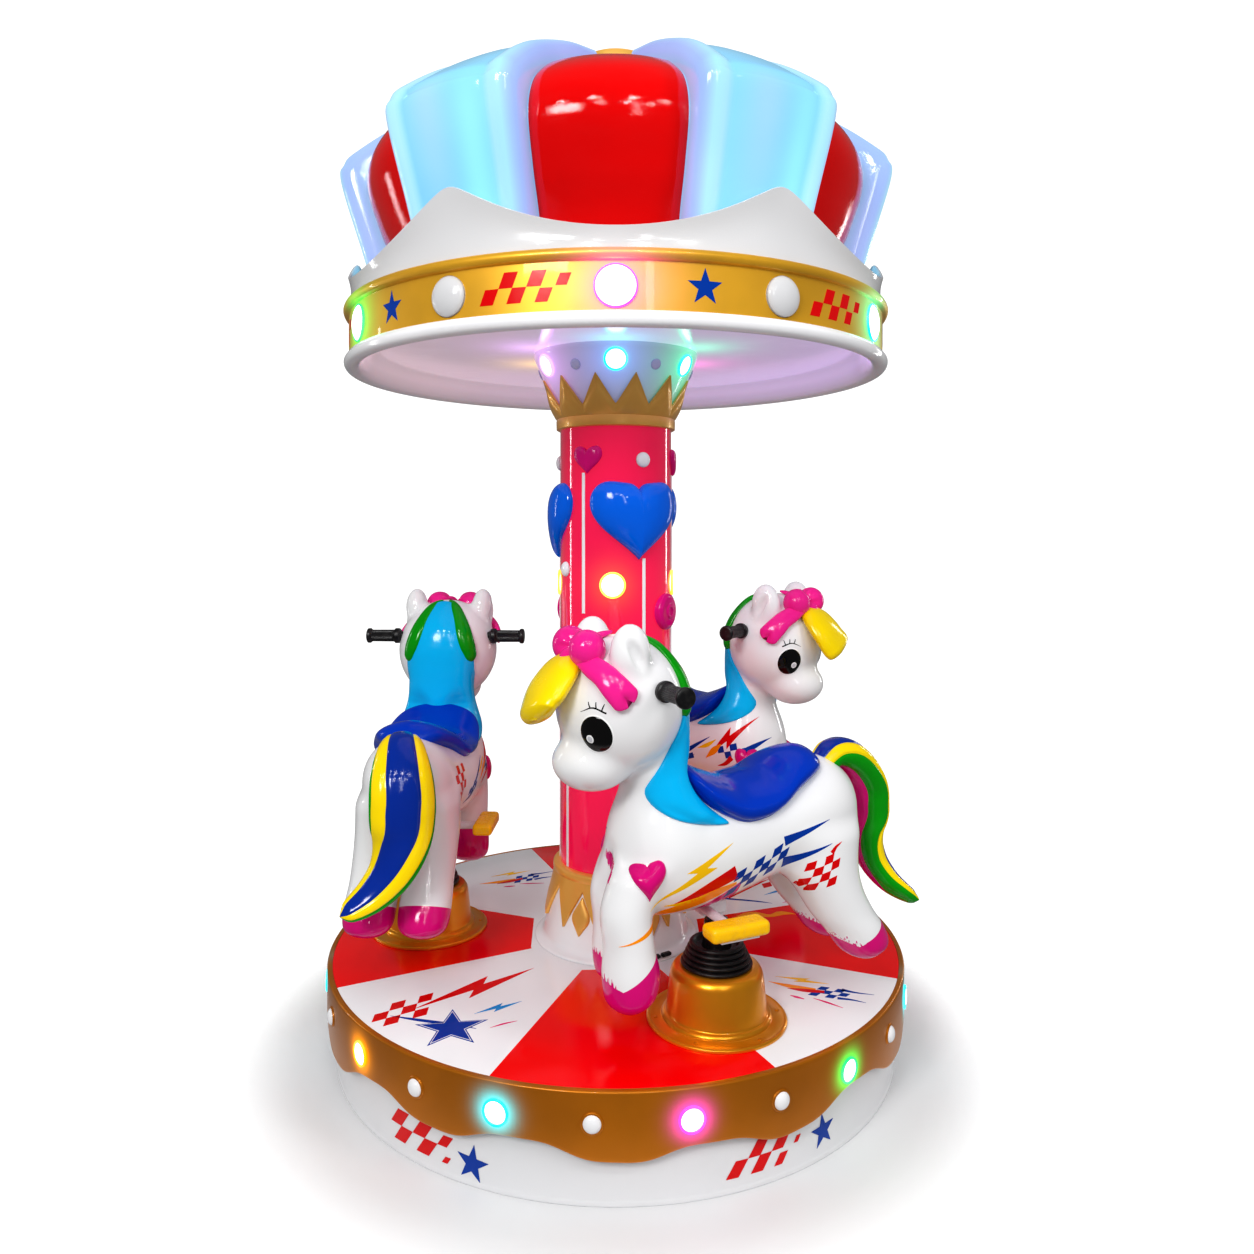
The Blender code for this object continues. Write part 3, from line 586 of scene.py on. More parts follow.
def hoof_line(tree, u, low, slope_back, slope_front):
    """Height of a hoof's paint edge: lowest at one place along the pony, higher either side."""
    at, height = low
    away = math_node(tree, "SUBTRACT", u, at)
    back = math_node(tree, "MULTIPLY_ADD", away, -slope_back, height)
    front = math_node(tree, "MULTIPLY_ADD", away, slope_front, height)
    return math_node(tree, "MAXIMUM", back, front)


def pony_paint(hues):
    """White gelcoat with brushed magenta on hooves and chest, by each point's place on its pony."""
    made, shader, tree = shaded("pony_white", 0.09)
    surface = group_node(tree, "Gelcoat surface")
    place = stored(tree, "place", "Vector")
    u, v, z = add(tree, "ShaderNodeSeparateXYZ", {0: place}).outputs

    def calc(operation, *values):
        return math_node(tree, operation, *values)

    shifted = calc("MULTIPLY_ADD", calc("LESS_THAN", v, 0.0), RIGHT_LEG_BACK, u)
    front = hoof_line(tree, shifted, (0.262, 0.147), 0.66, 0.70)
    rear = hoof_line(tree, u, (-0.282, 0.142), 0.50, 0.42)
    line = add(tree, "ShaderNodeMix", {0: calc("GREATER_THAN", u, 0.0), 2: rear, 3: front}).outputs[0]
    brush = noise(tree, stretched(tree, place, (260.0, 260.0, 22.0)), 1.0, 3.0)
    rear_toe = calc("MULTIPLY", spread(tree, u, -0.300, -0.285), calc("LESS_THAN", u, 0.0))
    toe = calc("MAXIMUM", spread(tree, shifted, 0.262, 0.276), rear_toe)
    ragged = calc("MULTIPLY", spread(tree, brush, 0.45, 0.75, -0.003, 0.011), toe)
    hoof = spread(tree, calc("SUBTRACT", calc("ADD", line, ragged), z), -0.0005, 0.0005)
    # The chest patch is an oval round y 0.012 that leans, with an edge torn by the brush.
    aside = calc("MULTIPLY_ADD", v, 1.0 / 0.045, -0.27)
    above = calc("MULTIPLY_ADD", calc("MULTIPLY_ADD", v, 0.3, z), 1.0 / 0.020, -0.356 / 0.020)
    away = calc("ADD", calc("MULTIPLY", aside, aside), calc("MULTIPLY", above, above))
    away = calc("MULTIPLY_ADD", brush, -1.6, away)
    chest = calc("MULTIPLY", spread(tree, away, 0.0, 0.06, 1.0, 0.0), calc("GREATER_THAN", u, 0.10))
    white = clouded(tree, surface, hues.pony, 0.95)
    feed(tree, shader,
         Base_Color=blend_colour(tree, calc("MAXIMUM", hoof, chest), white, tuple(hues.magenta)),
         Roughness=spread(tree, surface["Smudge"], 0.0, 1.0, 0.08, 0.20))
    relief(tree, shader, surface["Height"], 0.0006)
    return made


def tail_paint(hues):
    """Strands of the tail in blue, yellow, green and magenta, by the angle from the ridge."""
    made, shader, tree = shaded("tail_strands", 0.10)
    surface = group_node(tree, "Gelcoat surface")
    band = stored(tree, "band", "Fac")
    tint = srgb(0, 52, 150)
    for border, colour in zip(TAIL_BANDS, (hues.yellow, hues.green, hues.magenta)):
        step = spread(tree, band, border / 180.0 - 0.003, border / 180.0 + 0.003)
        tint = blend_colour(tree, step, tint, tuple(colour))
    cloud = clouded(tree, surface, (1.0, 1.0, 1.0), 0.90)
    feed(tree, shader, Base_Color=blend_colour(tree, 1.0, tint, cloud, "MULTIPLY"),
         Roughness=spread(tree, surface["Smudge"], 0.0, 1.0, 0.08, 0.22))
    relief(tree, shader, surface["Height"], 0.0006)
    return made


def make_finishes():
    """Every material of the carousel, by a plain name."""
    gelcoat_group()
    flake_group()
    scuff_group()
    hues = bpy.context.scene.carousel_colours
    return {
        "white": gloss("white_gelcoat", hues.white, 0.08, shade=0.96, glow=0.55),
        # The crown skirt's and band domes' white is darkened to 0.74 of the same white: painted shade.
        "crown": gloss("white_crown_painted_shade", scaled(hues.white, 0.74), 0.08, shade=0.96, glow=0.45),
        # The drum's white is darkened to 0.84 of the same white: painted shade.
        "drum": gloss("white_drum_painted_shade", scaled(hues.white, 0.84), 0.10, shade=0.98, glow=0.55),
        # The bowl's white is darkened to 0.70 of the same white: painted shade. Its glow is painted lamp
        # light.
        "bowl": gloss("white_bowl", scaled(hues.white, 0.70), 0.08, shade=0.96, glow=0.9),
        "stud": gloss("lavender_stud", srgb(204, 207, 244), 0.15),
        "red": gloss("red_gloss", hues.red, 0.05, wave=0.0010),
        # The roof's red is darkened to 0.76 of the deck's red: painted shade.
        "roof": gloss("roof_red_painted_shade", scaled(hues.red, 0.76), 0.05, wave=0.0010),
        "column": lit_plastic("lit_column", scaled(hues.column, 0.8), 0.36, 0.07, coat=1.0),
        "apron": gold_paint("apron_gold", hues.apron, 0.38, 0.55, glow=1.1),
        "band": gold_paint("band_gold", hues.canopy_gold, 0.42, 0.45, glow=0.7),
        "pot": gold_paint("pot_gold", hues.pot_gold, 0.30, 0.70),
        "collar": gold_paint("collar_gold", hues.collar_gold, 0.32, 0.35),
        "lantern": lit_plastic("lit_lantern", scaled(hues.lantern, 0.42), 1.0),
        "heart": gloss("heart_blue", hues.heart_blue, 0.06),
        "magenta": gloss("magenta_gloss", hues.magenta, 0.08),
        "core": lamp_core(),
        "ring": lamp_ring(),
        "rubber": handled("black_rubber", 0.42, (0.006, 0.006, 0.007), (0.020, 0.019, 0.018),
                          (0.34, 0.55), 0.0003),
        "pedal": handled("yellow_pedal", 0.3, hues.pedal, scaled(hues.pedal, 0.86), (0.24, 0.45),
                         0.0002, grain=380.0),
        "steel": gloss("white_shaft", srgb(225, 222, 226), 0.2),
        "decal_red": film("sticker_red", hues.decal_red),
        "decal_blue": film("sticker_blue", hues.decal_blue),
        "decal_orange": film("sticker_orange", srgb(255, 150, 10)),
        "decal_sky": film("sticker_sky", srgb(40, 140, 210)),
        "decal_yellow": film("sticker_yellow", srgb(250, 196, 20)),
        "decal_magenta": film("sticker_magenta", srgb(222, 30, 110)),
        "pony": pony_paint(hues),
        "saddle": gloss("saddle_blue", hues.saddle, 0.09, sheen=0.25),
        "mane": gloss("mane_blue", hues.mane, 0.10),
        "green": gloss("hair_green", hues.green, 0.10),
        "yellow": gloss("hair_yellow", hues.yellow, 0.12),
        "bow": gloss("bow_pink", hues.bow, 0.09),
        "tail": tail_paint(hues),
        "eye": gloss("eye_black", (0.0035, 0.0032, 0.0035), 0.05),
        "eye_rim": gloss("eye_white", srgb(250, 250, 250), 0.15),
        "eye_spot": gloss("eye_spot", srgb(205, 206, 212), 0.2),
        "boot": gloss("boot_black", (0.008, 0.007, 0.007), 0.12),
    }


# Every material by its plain name, filled when the script runs.
FINISH = {}


def parts_group(name, inputs):
    """A Geometry Nodes group that repeats a part, with what it is given and its output node."""
    return new_group(name, "GeometryNodeTree",
                     (("Geometry", "Geometry", None), ("Part", "Object", None), *inputs,
                      ("Finish", "Material", None)), (("Geometry", "Geometry"),))


def put_copies(tree, given, out, points, **turns):
    """Put the group's part on points, as one mesh in the group's finish."""
    part = add(tree, "GeometryNodeObjectInfo", {"Object": given["Part"]}).outputs["Geometry"]
    copies = add(tree, "GeometryNodeInstanceOnPoints",
                 {"Points": points, "Instance": part, **turns}).outputs[0]
    whole = add(tree, "GeometryNodeRealizeInstances", {0: copies}).outputs[0]
    feed(tree, out, Geometry=add(tree, "GeometryNodeSetMaterial", {
        "Geometry": whole, "Material": given["Finish"]}).outputs[0])


def ring_tree():
    """Geometry Nodes that repeat a part round the axis."""
    tree, given, out = parts_group("Ring of parts", (
        ("Count", "Int", 6), ("Radius", "Float", 0.7), ("Height", "Float", 0.0), ("Start", "Float", 0.0)))
    share = math_node(tree, "DIVIDE", add(tree, "GeometryNodeInputIndex").outputs[0], given["Count"])
    angle = math_node(tree, "MULTIPLY_ADD", share, 2.0 * math.pi, given["Start"])
    x = math_node(tree, "MULTIPLY", math_node(tree, "SINE", angle), given["Radius"])
    y = math_node(tree, "MULTIPLY", math_node(tree, "COSINE", angle),
                  math_node(tree, "MULTIPLY", given["Radius"], -1.0))
    place, spin = (add(tree, "ShaderNodeCombineXYZ", parts).outputs[0]
                   for parts in ({"X": x, "Y": y, "Z": given["Height"]}, {"Z": angle}))
    points = add(tree, "GeometryNodePoints", {"Count": given["Count"], "Position": place}).outputs[0]
    put_copies(tree, given, out, points, Rotation=spin)


def grid_tree():
    """Geometry Nodes that repeat a part over a level rectangle."""
    tree, given, out = parts_group("Grid of parts", (
        ("Columns", "Int", 10), ("Rows", "Int", 4), ("Length", "Float", 0.1), ("Width", "Float", 0.03)))
    grid = add(tree, "GeometryNodeMeshGrid", {
        "Size X": given["Length"], "Size Y": given["Width"],
        "Vertices X": given["Columns"], "Vertices Y": given["Rows"]}).outputs[0]
    put_copies(tree, given, out, grid)


def from_nodes(name, tree, **values):
    """A plain mesh from a Geometry Nodes tree, its inputs given by name."""
    obj = in_scene(name, bpy.data.meshes.new(name))
    modifier = obj.modifiers.new("make", "NODES")
    modifier.node_group = tree
    for item in tree.interface.items_tree:
        if item.item_type == "SOCKET" and item.in_out == "INPUT" and item.name in values:
            modifier[item.identifier] = values[item.name]
    settled(obj)
    obj.data.shade_smooth()
    obj.data.set_sharp_from_angle(angle=math.radians(40.0))
    return obj


def ring(name, part, count, radius, height, start):
    """Repeat a part that faces -Y round the axis, and remove the part itself."""
    made = from_nodes(name, bpy.data.node_groups["Ring of parts"], Part=part, Count=count,
                      Radius=float(radius), Height=float(height), Start=math.radians(start),
                      Finish=part.data.materials[0])
    bpy.data.objects.remove(part, do_unlink=True)
    return made


def button_row(name, profile, finish, slot, count, radius, height, start, steps=40, tilt=0.0):
    """Buttons of one profile in a ring on the turntable."""
    part = put(button("button", profile, finish, steps), tipped(tilt))
    mount(ring(name, part, count, radius, height, start), "turntable", slot)


def lamp_rings(name, names, start, radius, height, lens_r, tilt=0.0, bulge=0.006, rim=1.20):
    """Lens and coloured ring of each lamp in a row, as two joined pieces."""
    lens = put(button("lens", button_profile(lens_r, bulge, 0.001), "core"), tipped(tilt))
    wide, near = lens_r * rim, lens_r * 0.99
    bezel = rounded(((near, -0.002), (near, 0.004), (wide, 0.004), (wide, -0.002)),
                    min(0.0018, (wide - near) * 0.4), closed=True)
    bezel = put(skin("bezel", spun(bezel, 72), "ring", along=True), tipped(tilt))
    lenses = ring(name + "_lenses", lens, len(names), radius, height, start)
    rims = ring(name + "_rims", bezel, len(names), radius, height, start)
    tint_by_lamp(rims, lamp_places(names, start, radius, height))
    for made in (lenses, rims):
        mount(made, "turntable", "lit_blue")


def cut_small(bm, longest):
    """Split a flat bmesh's edges until none is longer than the limit."""
    while True:
        long = [edge for edge in bm.edges if edge.calc_length() > longest]
        if not long:
            return
        bmesh.ops.subdivide_edges(bm, edges=long, cuts=1)
        bmesh.ops.triangulate(bm, faces=bm.faces)


def decal(name, outlines, laid, finish, longest=0.02):
    """Flat outlines of points laid on a surface by a function of across, up and lift."""
    bm = bmesh.new()
    for outline in outlines:
        bm.faces.new([bm.verts.new((x, y, 0.0)) for x, y in outline])
    bmesh.ops.triangulate(bm, faces=bm.faces)
    cut_small(bm, longest)
    bmesh.ops.recalc_face_normals(bm, faces=bm.faces)
    for face in bm.faces:
        if face.normal.z < 0.0:
            face.normal_flip()
    base = bmesh.ops.duplicate(bm, geom=list(bm.verts) + list(bm.edges) + list(bm.faces))
    under = [item for item in base["geom"] if isinstance(item, bmesh.types.BMVert)]
    pairs = [(edge, base["edge_map"][edge]) for edge in base["edge_map"] if edge.is_boundary]
    for face in [item for item in base["geom"] if isinstance(item, bmesh.types.BMFace)]:
        face.normal_flip()
    below = set(under)
    for edge, twin in pairs:
        if edge.verts[0] in below:
            continue
        a, b = edge.verts
        c, d = twin.verts
        if (c.co - a.co).length > (d.co - a.co).length:
            c, d = d, c
        bm.faces.new((a, b, d, c))
    for vert in bm.verts:
        lift = 0.0 if vert in below else DECAL_LIFT
        vert.co = laid(vert.co.x, vert.co.y, lift)
    bmesh.ops.recalc_face_normals(bm, faces=bm.faces)
    return piece(name, bm, finish, sharp=30.0)


def star_outline(radius, turn=0.0, centre=(0.0, 0.0)):
    points = []
    for k in range(10):
        reach = radius if k % 2 == 0 else radius * 0.40
        angle = math.radians(90.0 + 36.0 * k + turn)
        points.append((centre[0] + reach * math.cos(angle), centre[1] + reach * math.sin(angle)))
    return points


def check_outlines(cell, rows=2, columns=6, slant=0.35, centre=(0.0, 0.0), taper=0.0, first=0):
    """Slanted cells of a chequer, as separate outlines, the last ones smaller with taper."""
    outlines = []
    wide, high = cell
    for row in range(rows):
        for column in range(columns):
            if (row + column + first) % 2:
                continue
            scale = 1.0 - taper * max(column - columns + 3, 0)
            x = (column - columns / 2.0) * wide + centre[0]
            y = (row - rows / 2.0) * high + centre[1]
            corners = ((0.0, 0.0), (wide * scale, 0.0), (wide * scale, high * scale), (0.0, high * scale))
            outlines.append([(x + cx + slant * (y + cy - centre[1]), y + cy) for cx, cy in corners])
    return outlines


def on_round(radius, bearing, height, cone=0.0):
    """A function that lays flat points on an upright face of a radius, facing a bearing."""
    def laid(x, y, lift):
        reach = radius + lift - DECAL_SINK + cone * y
        return polar(reach, bearing + math.degrees(x / radius), height + y)
    return laid


def on_deck(x, y, lift):
    return Vector((x, y, DECK_TOP - DECAL_SINK + lift))


def ease_min(first, second, reach):
    """The lower of two fields, with a rounded valley where they meet."""
    share = np.clip(0.5 + 0.5 * (second - first) / reach, 0.0, 1.0)
    return second + (first - second) * share - reach * share * (1.0 - share)


def ease_max(first, second, reach):
    return -ease_min(-first, -second, reach)


def ball(points, centre, radii, turn=None):
    """Distance to an ellipsoid, close to its surface. The turn's columns are its axes."""
    local = points - np.array(centre)
    if turn is not None:
        local = local @ turn
    near = np.linalg.norm(local / radii, axis=1)
    slope = np.linalg.norm(local / np.square(radii), axis=1)
    return near * (near - 1.0) / np.maximum(slope, 0.000001)


def strung(points, table, level, power=2.0, ends=0.02):
    """Distance to ovals strung along X, or upwards where they are level.

    A row is a place along X, a height, and the oval's half sizes: across and up for
    ovals square to X, along and across for level ones."""
    rows = spline(table, 160)
    rows = rows[np.argsort(rows[:, level])]
    along, track = points[:, 2 if level else 0], rows[:, level]
    other, wide, high = (np.interp(along, track, rows[:, k]) for k in (1 - level, 2, 3))
    if level:
        x, y = (points[:, 0] - other) / wide, points[:, 1] / high
    else:
        x, y = points[:, 1] / wide, (points[:, 2] - other) / high
    near = (np.abs(x) ** power + np.abs(y) ** power) ** (1.0 / power)
    side = (near - 1.0) * np.hypot(x, y) / np.maximum(np.hypot(x / wide, y / high), 0.000001)
    beyond = np.maximum(track[0] - along, along - track[-1])
    return ease_max(side, beyond, ends)


def outline_distance(points, outline):
    """Distance from flat points to a closed outline, negative inside it."""
    corners = np.array(outline, float)
    best = np.full(len(points), 9.0)
    inside = np.zeros(len(points), bool)
    for start, end in zip(corners, np.roll(corners, -1, axis=0)):
        edge = end - start
        local = points - start
        share = np.clip(local @ edge / (edge @ edge), 0.0, 1.0)
        best = np.minimum(best, np.linalg.norm(local - share[:, None] * edge, axis=1))
        crosses = (start[1] > points[:, 1]) != (end[1] > points[:, 1])
        run = edge[0] / edge[1] if edge[1] else 0.0
        inside ^= crosses & (points[:, 0] < start[0] + (points[:, 1] - start[1]) * run)
    return np.where(inside, -best, best)


def on_level(points, field, cell, rounds):
    """Move points square to a field until it is zero there."""
    probe = cell * 0.1
    for _ in range(rounds):
        value = field(points)
        slope = np.stack([(field(points + probe * axis) - field(points - probe * axis)) / (2.0 * probe)
                          for axis in np.eye(3)], 1)
        move = slope * (value / np.maximum((slope ** 2).sum(1), 0.1))[:, None]
        points = points - np.clip(move, -cell * 0.7, cell * 0.7)
    return points


def netted(name, field, low, high, cell, finish):
    """Mesh the surface where a field of distances is zero, with even quads."""
    counts = np.ceil((np.array(high) - low) / cell).astype(int) + 1
    axes = [low[k] + cell * np.arange(counts[k]) for k in range(3)]
    grid = np.stack(np.meshgrid(*axes, indexing="ij"), -1).reshape(-1, 3)
    inside = (field(grid) < 0.0).reshape(counts)
    cells = tuple(counts - 1)
    total = np.zeros(cells, int)
    for i, j, k in np.ndindex(2, 2, 2):
        total += inside[i:i + cells[0], j:j + cells[1], k:k + cells[2]]
    mixed = (total > 0) & (total < 8)
    index = np.full(cells, -1)
    index[mixed] = np.arange(mixed.sum())
    points = np.array(low) + (np.argwhere(mixed) + 0.5) * cell
    quads = []
    for axis in range(3):
        first = np.take(inside, range(counts[axis] - 1), axis)
        where = np.argwhere(first != np.take(inside, range(1, counts[axis]), axis))
        one, two = (np.eye(3, dtype=int)[(axis + k) % 3] for k in (1, 2))
        quad = np.stack([index[tuple((where - a * one - b * two).T)]
                         for a, b in ((0, 0), (1, 0), (1, 1), (0, 1))], 1)
        quads.append(np.where(first[tuple(where.T)][:, None], quad, quad[:, ::-1]))
    quads = np.vstack(quads)
    ends = quads[:, (0, 1, 1, 2, 2, 3, 3, 0)].reshape(-1, 2)
    valence = np.bincount(ends.ravel(), minlength=len(points))[:, None]
    points = on_level(points, field, cell, 3)
    for _ in range(2):
        sums = [np.bincount(ends.ravel(), points[ends[:, ::-1].ravel(), k], len(points)) for k in range(3)]
        points = on_level(points * 0.4 + np.stack(sums, 1) / valence * 0.6, field, cell, 2)
    mesh = bpy.data.meshes.new(name)
    mesh.from_pydata(points.tolist(), [], quads.tolist())
    mesh.shade_smooth()
    mesh.materials.append(FINISH[finish])
    return in_scene(name, mesh)


def swept(name, table, hub, finish, count=44, sides=36, power=2.0, tips=(0.0, 0.12), notch=0.0,
          ribs=None):
    """Ovals along a path. A row is a place, a half thickness away from the hub and a half width."""
    dense = 240
    path = spline(table, dense)
    ways = np.gradient(path[:, :3], axis=0)
    angle = np.linspace(0.0, 2.0 * math.pi, sides, endpoint=False)[None, :]
    t = (0.5 - 0.5 * np.cos(np.linspace(0.0, math.pi, count)))[:, None]
    x, y = (np.sign(f(angle)) * np.abs(f(angle)) ** (2.0 / power) for f in (np.sin, np.cos))
    at = t * (1.0 - notch * (1.0 - np.abs(x))) * (dense - 1.0)
    centre, way = (np.stack([np.interp(at, np.arange(dense), rows[:, k]) for k in range(3)], -1)
                   for rows in (path, ways))
    thick, wide = (np.interp(at, np.arange(dense), path[:, k]) for k in (3, 4))
    way /= np.linalg.norm(way, axis=2, keepdims=True)
    out = centre - np.array(hub)
    out -= (out * way).sum(2, keepdims=True) * way
    out /= np.linalg.norm(out, axis=2, keepdims=True)
    fade = np.ones_like(t)
    for reach, away in zip(tips, (t, 1.0 - t)):
        if reach:
            fade = fade * np.sqrt(1.0 - (1.0 - np.clip(away / reach, 0.03, 1.0)) ** 2)
    if ribs is not None:
        fade = fade * ribs(angle)
    rows = centre + out * (thick * y * fade)[..., None] + np.cross(way, out) * (wide * x * fade)[..., None]
    return skin(name, rows.tolist(), finish, caps=True, sharp=None)


def on_shape(tree, origin, normal, across, up, reach=0.25):
    """A function that lays flat points on a meshed shape, looking at it against a direction."""
    origin, normal, across, up = (Vector(v) for v in (origin, normal, across, up))

    def laid(x, y, lift):
        start = origin + across * x + up * y
        hit, face, _, _ = tree.ray_cast(start + normal * reach, -normal)
        if hit is None:
            hit, face, _, _ = tree.find_nearest(start)
        return hit + (normal if lift > 0.001 else face) * (lift - DECAL_SINK)
    return laid


def stroke(*points):
    """Outline of a brush stroke through points, each a place across and up and a width."""
    rows = spline(points, 14)
    along = np.gradient(rows[:, :2], axis=0)
    along /= np.linalg.norm(along, axis=1)[:, None]
    square = np.stack((-along[:, 1], along[:, 0]), 1) * np.maximum(rows[:, 2:3], 0.0003) / 2.0
    return [tuple(p) for p in np.vstack((rows[:, :2] + square, (rows[:, :2] - square)[::-1]))]


def bolt(start, end, width, kink=0.5):
    """A lightning bolt: two long blades that overlap at a kink."""
    start, end = Vector(start), Vector(end)
    way = end - start
    side = Vector((-way.y, way.x)).normalized() * width / 2.0
    plan = ((0.0, 0.0), (kink + 0.14, 1.0), (kink + 0.05, 0.16), (1.0, 0.0), (kink - 0.14, -1.0),
            (kink - 0.05, -0.16))
    return [tuple(start + way * t + side * s) for t, s in plan]


def hem_at(bearing):
    """Lower edge of the apron at a bearing: twelve uneven drips."""
    sizes = bpy.context.scene.carousel_sizes
    angle = math.radians(bearing)
    uneven = 0.006 * math.cos(5.0 * angle + 2.4) + 0.004 * math.cos(9.0 * angle)
    drip = math.cos(12.0 * angle)
    return sizes.hem_height - sizes.hem_wave * drip * (1.5 - 0.5 * drip ** 2) + uneven


ROOM_LIGHT, MIRRORED_LIGHT = 0.33, 0.14


class CAROUSEL_OT_stage(bpy.types.Operator):
    """Pale floor, soft studio lamps and the camera"""
    bl_idname = "carousel.stage"
    bl_label = "Stage"

    def execute(self, context):
        scene = context.scene
        bm = bmesh.new()
        bmesh.ops.create_circle(bm, cap_ends=True, segments=96, radius=14.0)
        floor = piece("studio_floor", bm, self.floor_with_painted_shade(), sharp=None)
        scene.world = bpy.data.worlds.new("studio")
        scene.world.use_nodes = True
        self.white_room(scene.world.node_tree)
        for name, place, aim, wide, high, power in (
                ("key", (-2.0, -4.2, 3.3), (0.0, 0.0, 0.9), 1.4, 1.0, 86.0),
                ("fill", (3.6, -2.6, 2.6), (0.0, 0.0, 1.0), 1.0, 2.0, 40.0),
                ("top", (0.3, -0.4, 5.2), (0.0, 0.0, 0.5), 3.0, 3.0, 30.0),
                ("back", (-1.0, 4.4, 3.6), (0.0, 0.0, 1.2), 2.6, 1.6, 40.0),
                ("strip", (1.0, -4.6, 3.1), (0.0, 0.0, 1.5), 0.25, 1.6, 12.0),
                ("edge_right", (3.2, 2.4, 1.5), (0.0, 0.0, 1.2), 0.12, 1.8, 10.0),
                ("edge_left", (-3.9, 1.0, 1.5), (0.0, 0.0, 1.2), 0.12, 1.8, 10.0),
                *(("hall_%d" % k, (-1.5 + 1.0 * (k % 4), -2.9 - 1.1 * (k // 4), 3.6), (0.0, 0.0, 0.9),
                   0.16, 0.16, 5.0) for k in range(8))):
            lamp = bpy.data.lights.new(name, "AREA")
            lamp.shape = "RECTANGLE"
            lamp.size, lamp.size_y, lamp.energy = wide, high, power
            holder = in_scene(name, lamp)
            holder.visible_glossy = name not in ("top", "back", "fill")
            holder.location = place
            holder.rotation_euler = (Vector(aim) - Vector(place)).to_track_quat("-Z", "Y").to_euler()
        lens = bpy.data.cameras.new("camera")
        lens.sensor_width, lens.lens = 36.0, 27.76
        lens.shift_x, lens.shift_y = 0.009, -0.078
        camera = in_scene("camera", lens)
        camera.location = (0.0, -2.448, 1.242)
        camera.rotation_euler = (math.pi / 2, 0.0, 0.0)
        scene.camera = camera
        scene.view_settings.view_transform = "Standard"
        scene.view_settings.look = "Medium High Contrast"
        return {"FINISHED"}

    @staticmethod
    def white_room(tree):
        """Even light, a dimmer room for gloss to mirror, and a plain white ground behind."""
        light = tree.nodes["Background"]
        light.inputs["Color"].default_value = (1.0, 1.0, 1.0, 1.0)
        path = add(tree, "ShaderNodeLightPath").outputs
        strength = spread(tree, path["Is Glossy Ray"], 0.0, 1.0, ROOM_LIGHT, MIRRORED_LIGHT)
        feed(tree, light, Strength=strength)
        ground = add(tree, "ShaderNodeBackground", {"Color": (1.0, 1.0, 1.0, 1.0), "Strength": 1.0})
        both = add(tree, "ShaderNodeMixShader",
                   {0: path["Is Camera Ray"], 1: light.outputs[0], 2: ground.outputs[0]})
        feed(tree, tree.nodes["World Output"], Surface=both.outputs[0])

    @staticmethod
    def floor_with_painted_shade():
        """Pale floor that fades into the white ground. Its grey round the base, fading outwards, is painted
        shade round the foot.
        """
        made, shader, tree = shaded("studio_floor", 0.6)
        place = place_on(tree)
        away = add(tree, "ShaderNodeVectorMath", {0: place}, operation="LENGTH").outputs["Value"]
        mottle = noise(tree, place, 0.8)
        # The grey base colour, seen only near the base, is painted shade.
        feed(tree, shader, Alpha=spread(tree, away, 0.74, 0.98, 1.0, 0.0),
             Base_Color=blend_colour(tree, mottle, (0.79, 0.795, 0.81), (0.82, 0.82, 0.83)))
        return made


class CAROUSEL_OT_drum(bpy.types.Operator):
    """White lower drum with its rounded foot and its stickers"""
    bl_idname = "carousel.drum"
    bl_label = "Lower drum"

    def execute(self, context):
        sizes = context.scene.carousel_sizes
        ledge = DRUM_TOP - BEARING_HEIGHT
        corners = ((0.0, DRUM_TOP), (BEARING_RADIUS, DRUM_TOP), (BEARING_RADIUS, ledge),
                   (sizes.skirt_top, ledge), (sizes.skirt_foot - 0.001, 0.012),
                   (sizes.skirt_foot, 0.008), (sizes.skirt_foot, 0.0), (0.0, 0.0))
        radii = (0.0, 0.002, 0.002, 0.006, 0.004, 0.003, 0.003, 0.0)
        # Its darkened white is painted shade.
        drum = turned("lower_drum", rounded(corners, radii), "drum", steps=256)
        mount(drum, "base", "white_shell", "base_drum")
        slope = (sizes.skirt_top - sizes.skirt_foot) / ledge
        wide = check_outlines((0.033, 0.030), slant=0.7, taper=0.3, first=1)
        narrow = check_outlines((0.026, 0.030), slant=0.7, taper=0.3)
        red, blue = ("decal_red", "red_shell"), ("decal_blue", "heart_blue")
        for turn in (0.0, 180.0):
            for kind, bearing, height, outlines, (finish, slot) in (
                    ("checks_left", -33.3, 0.057, wide, red),
                    ("checks_right", 26.0, 0.059, narrow, red),
                    ("star_left", -23.6, 0.043, [star_outline(0.036, -6.0)], blue),
                    ("star_right", 37.1, 0.056, [star_outline(0.034, 4.0)], blue)):
                laid = on_round(sizes.skirt_foot + slope * height, bearing + turn, height, slope)
                mount(decal("drum_%s_%d" % (kind, turn), outlines, laid, finish), "base", slot)
        return {"FINISHED"}


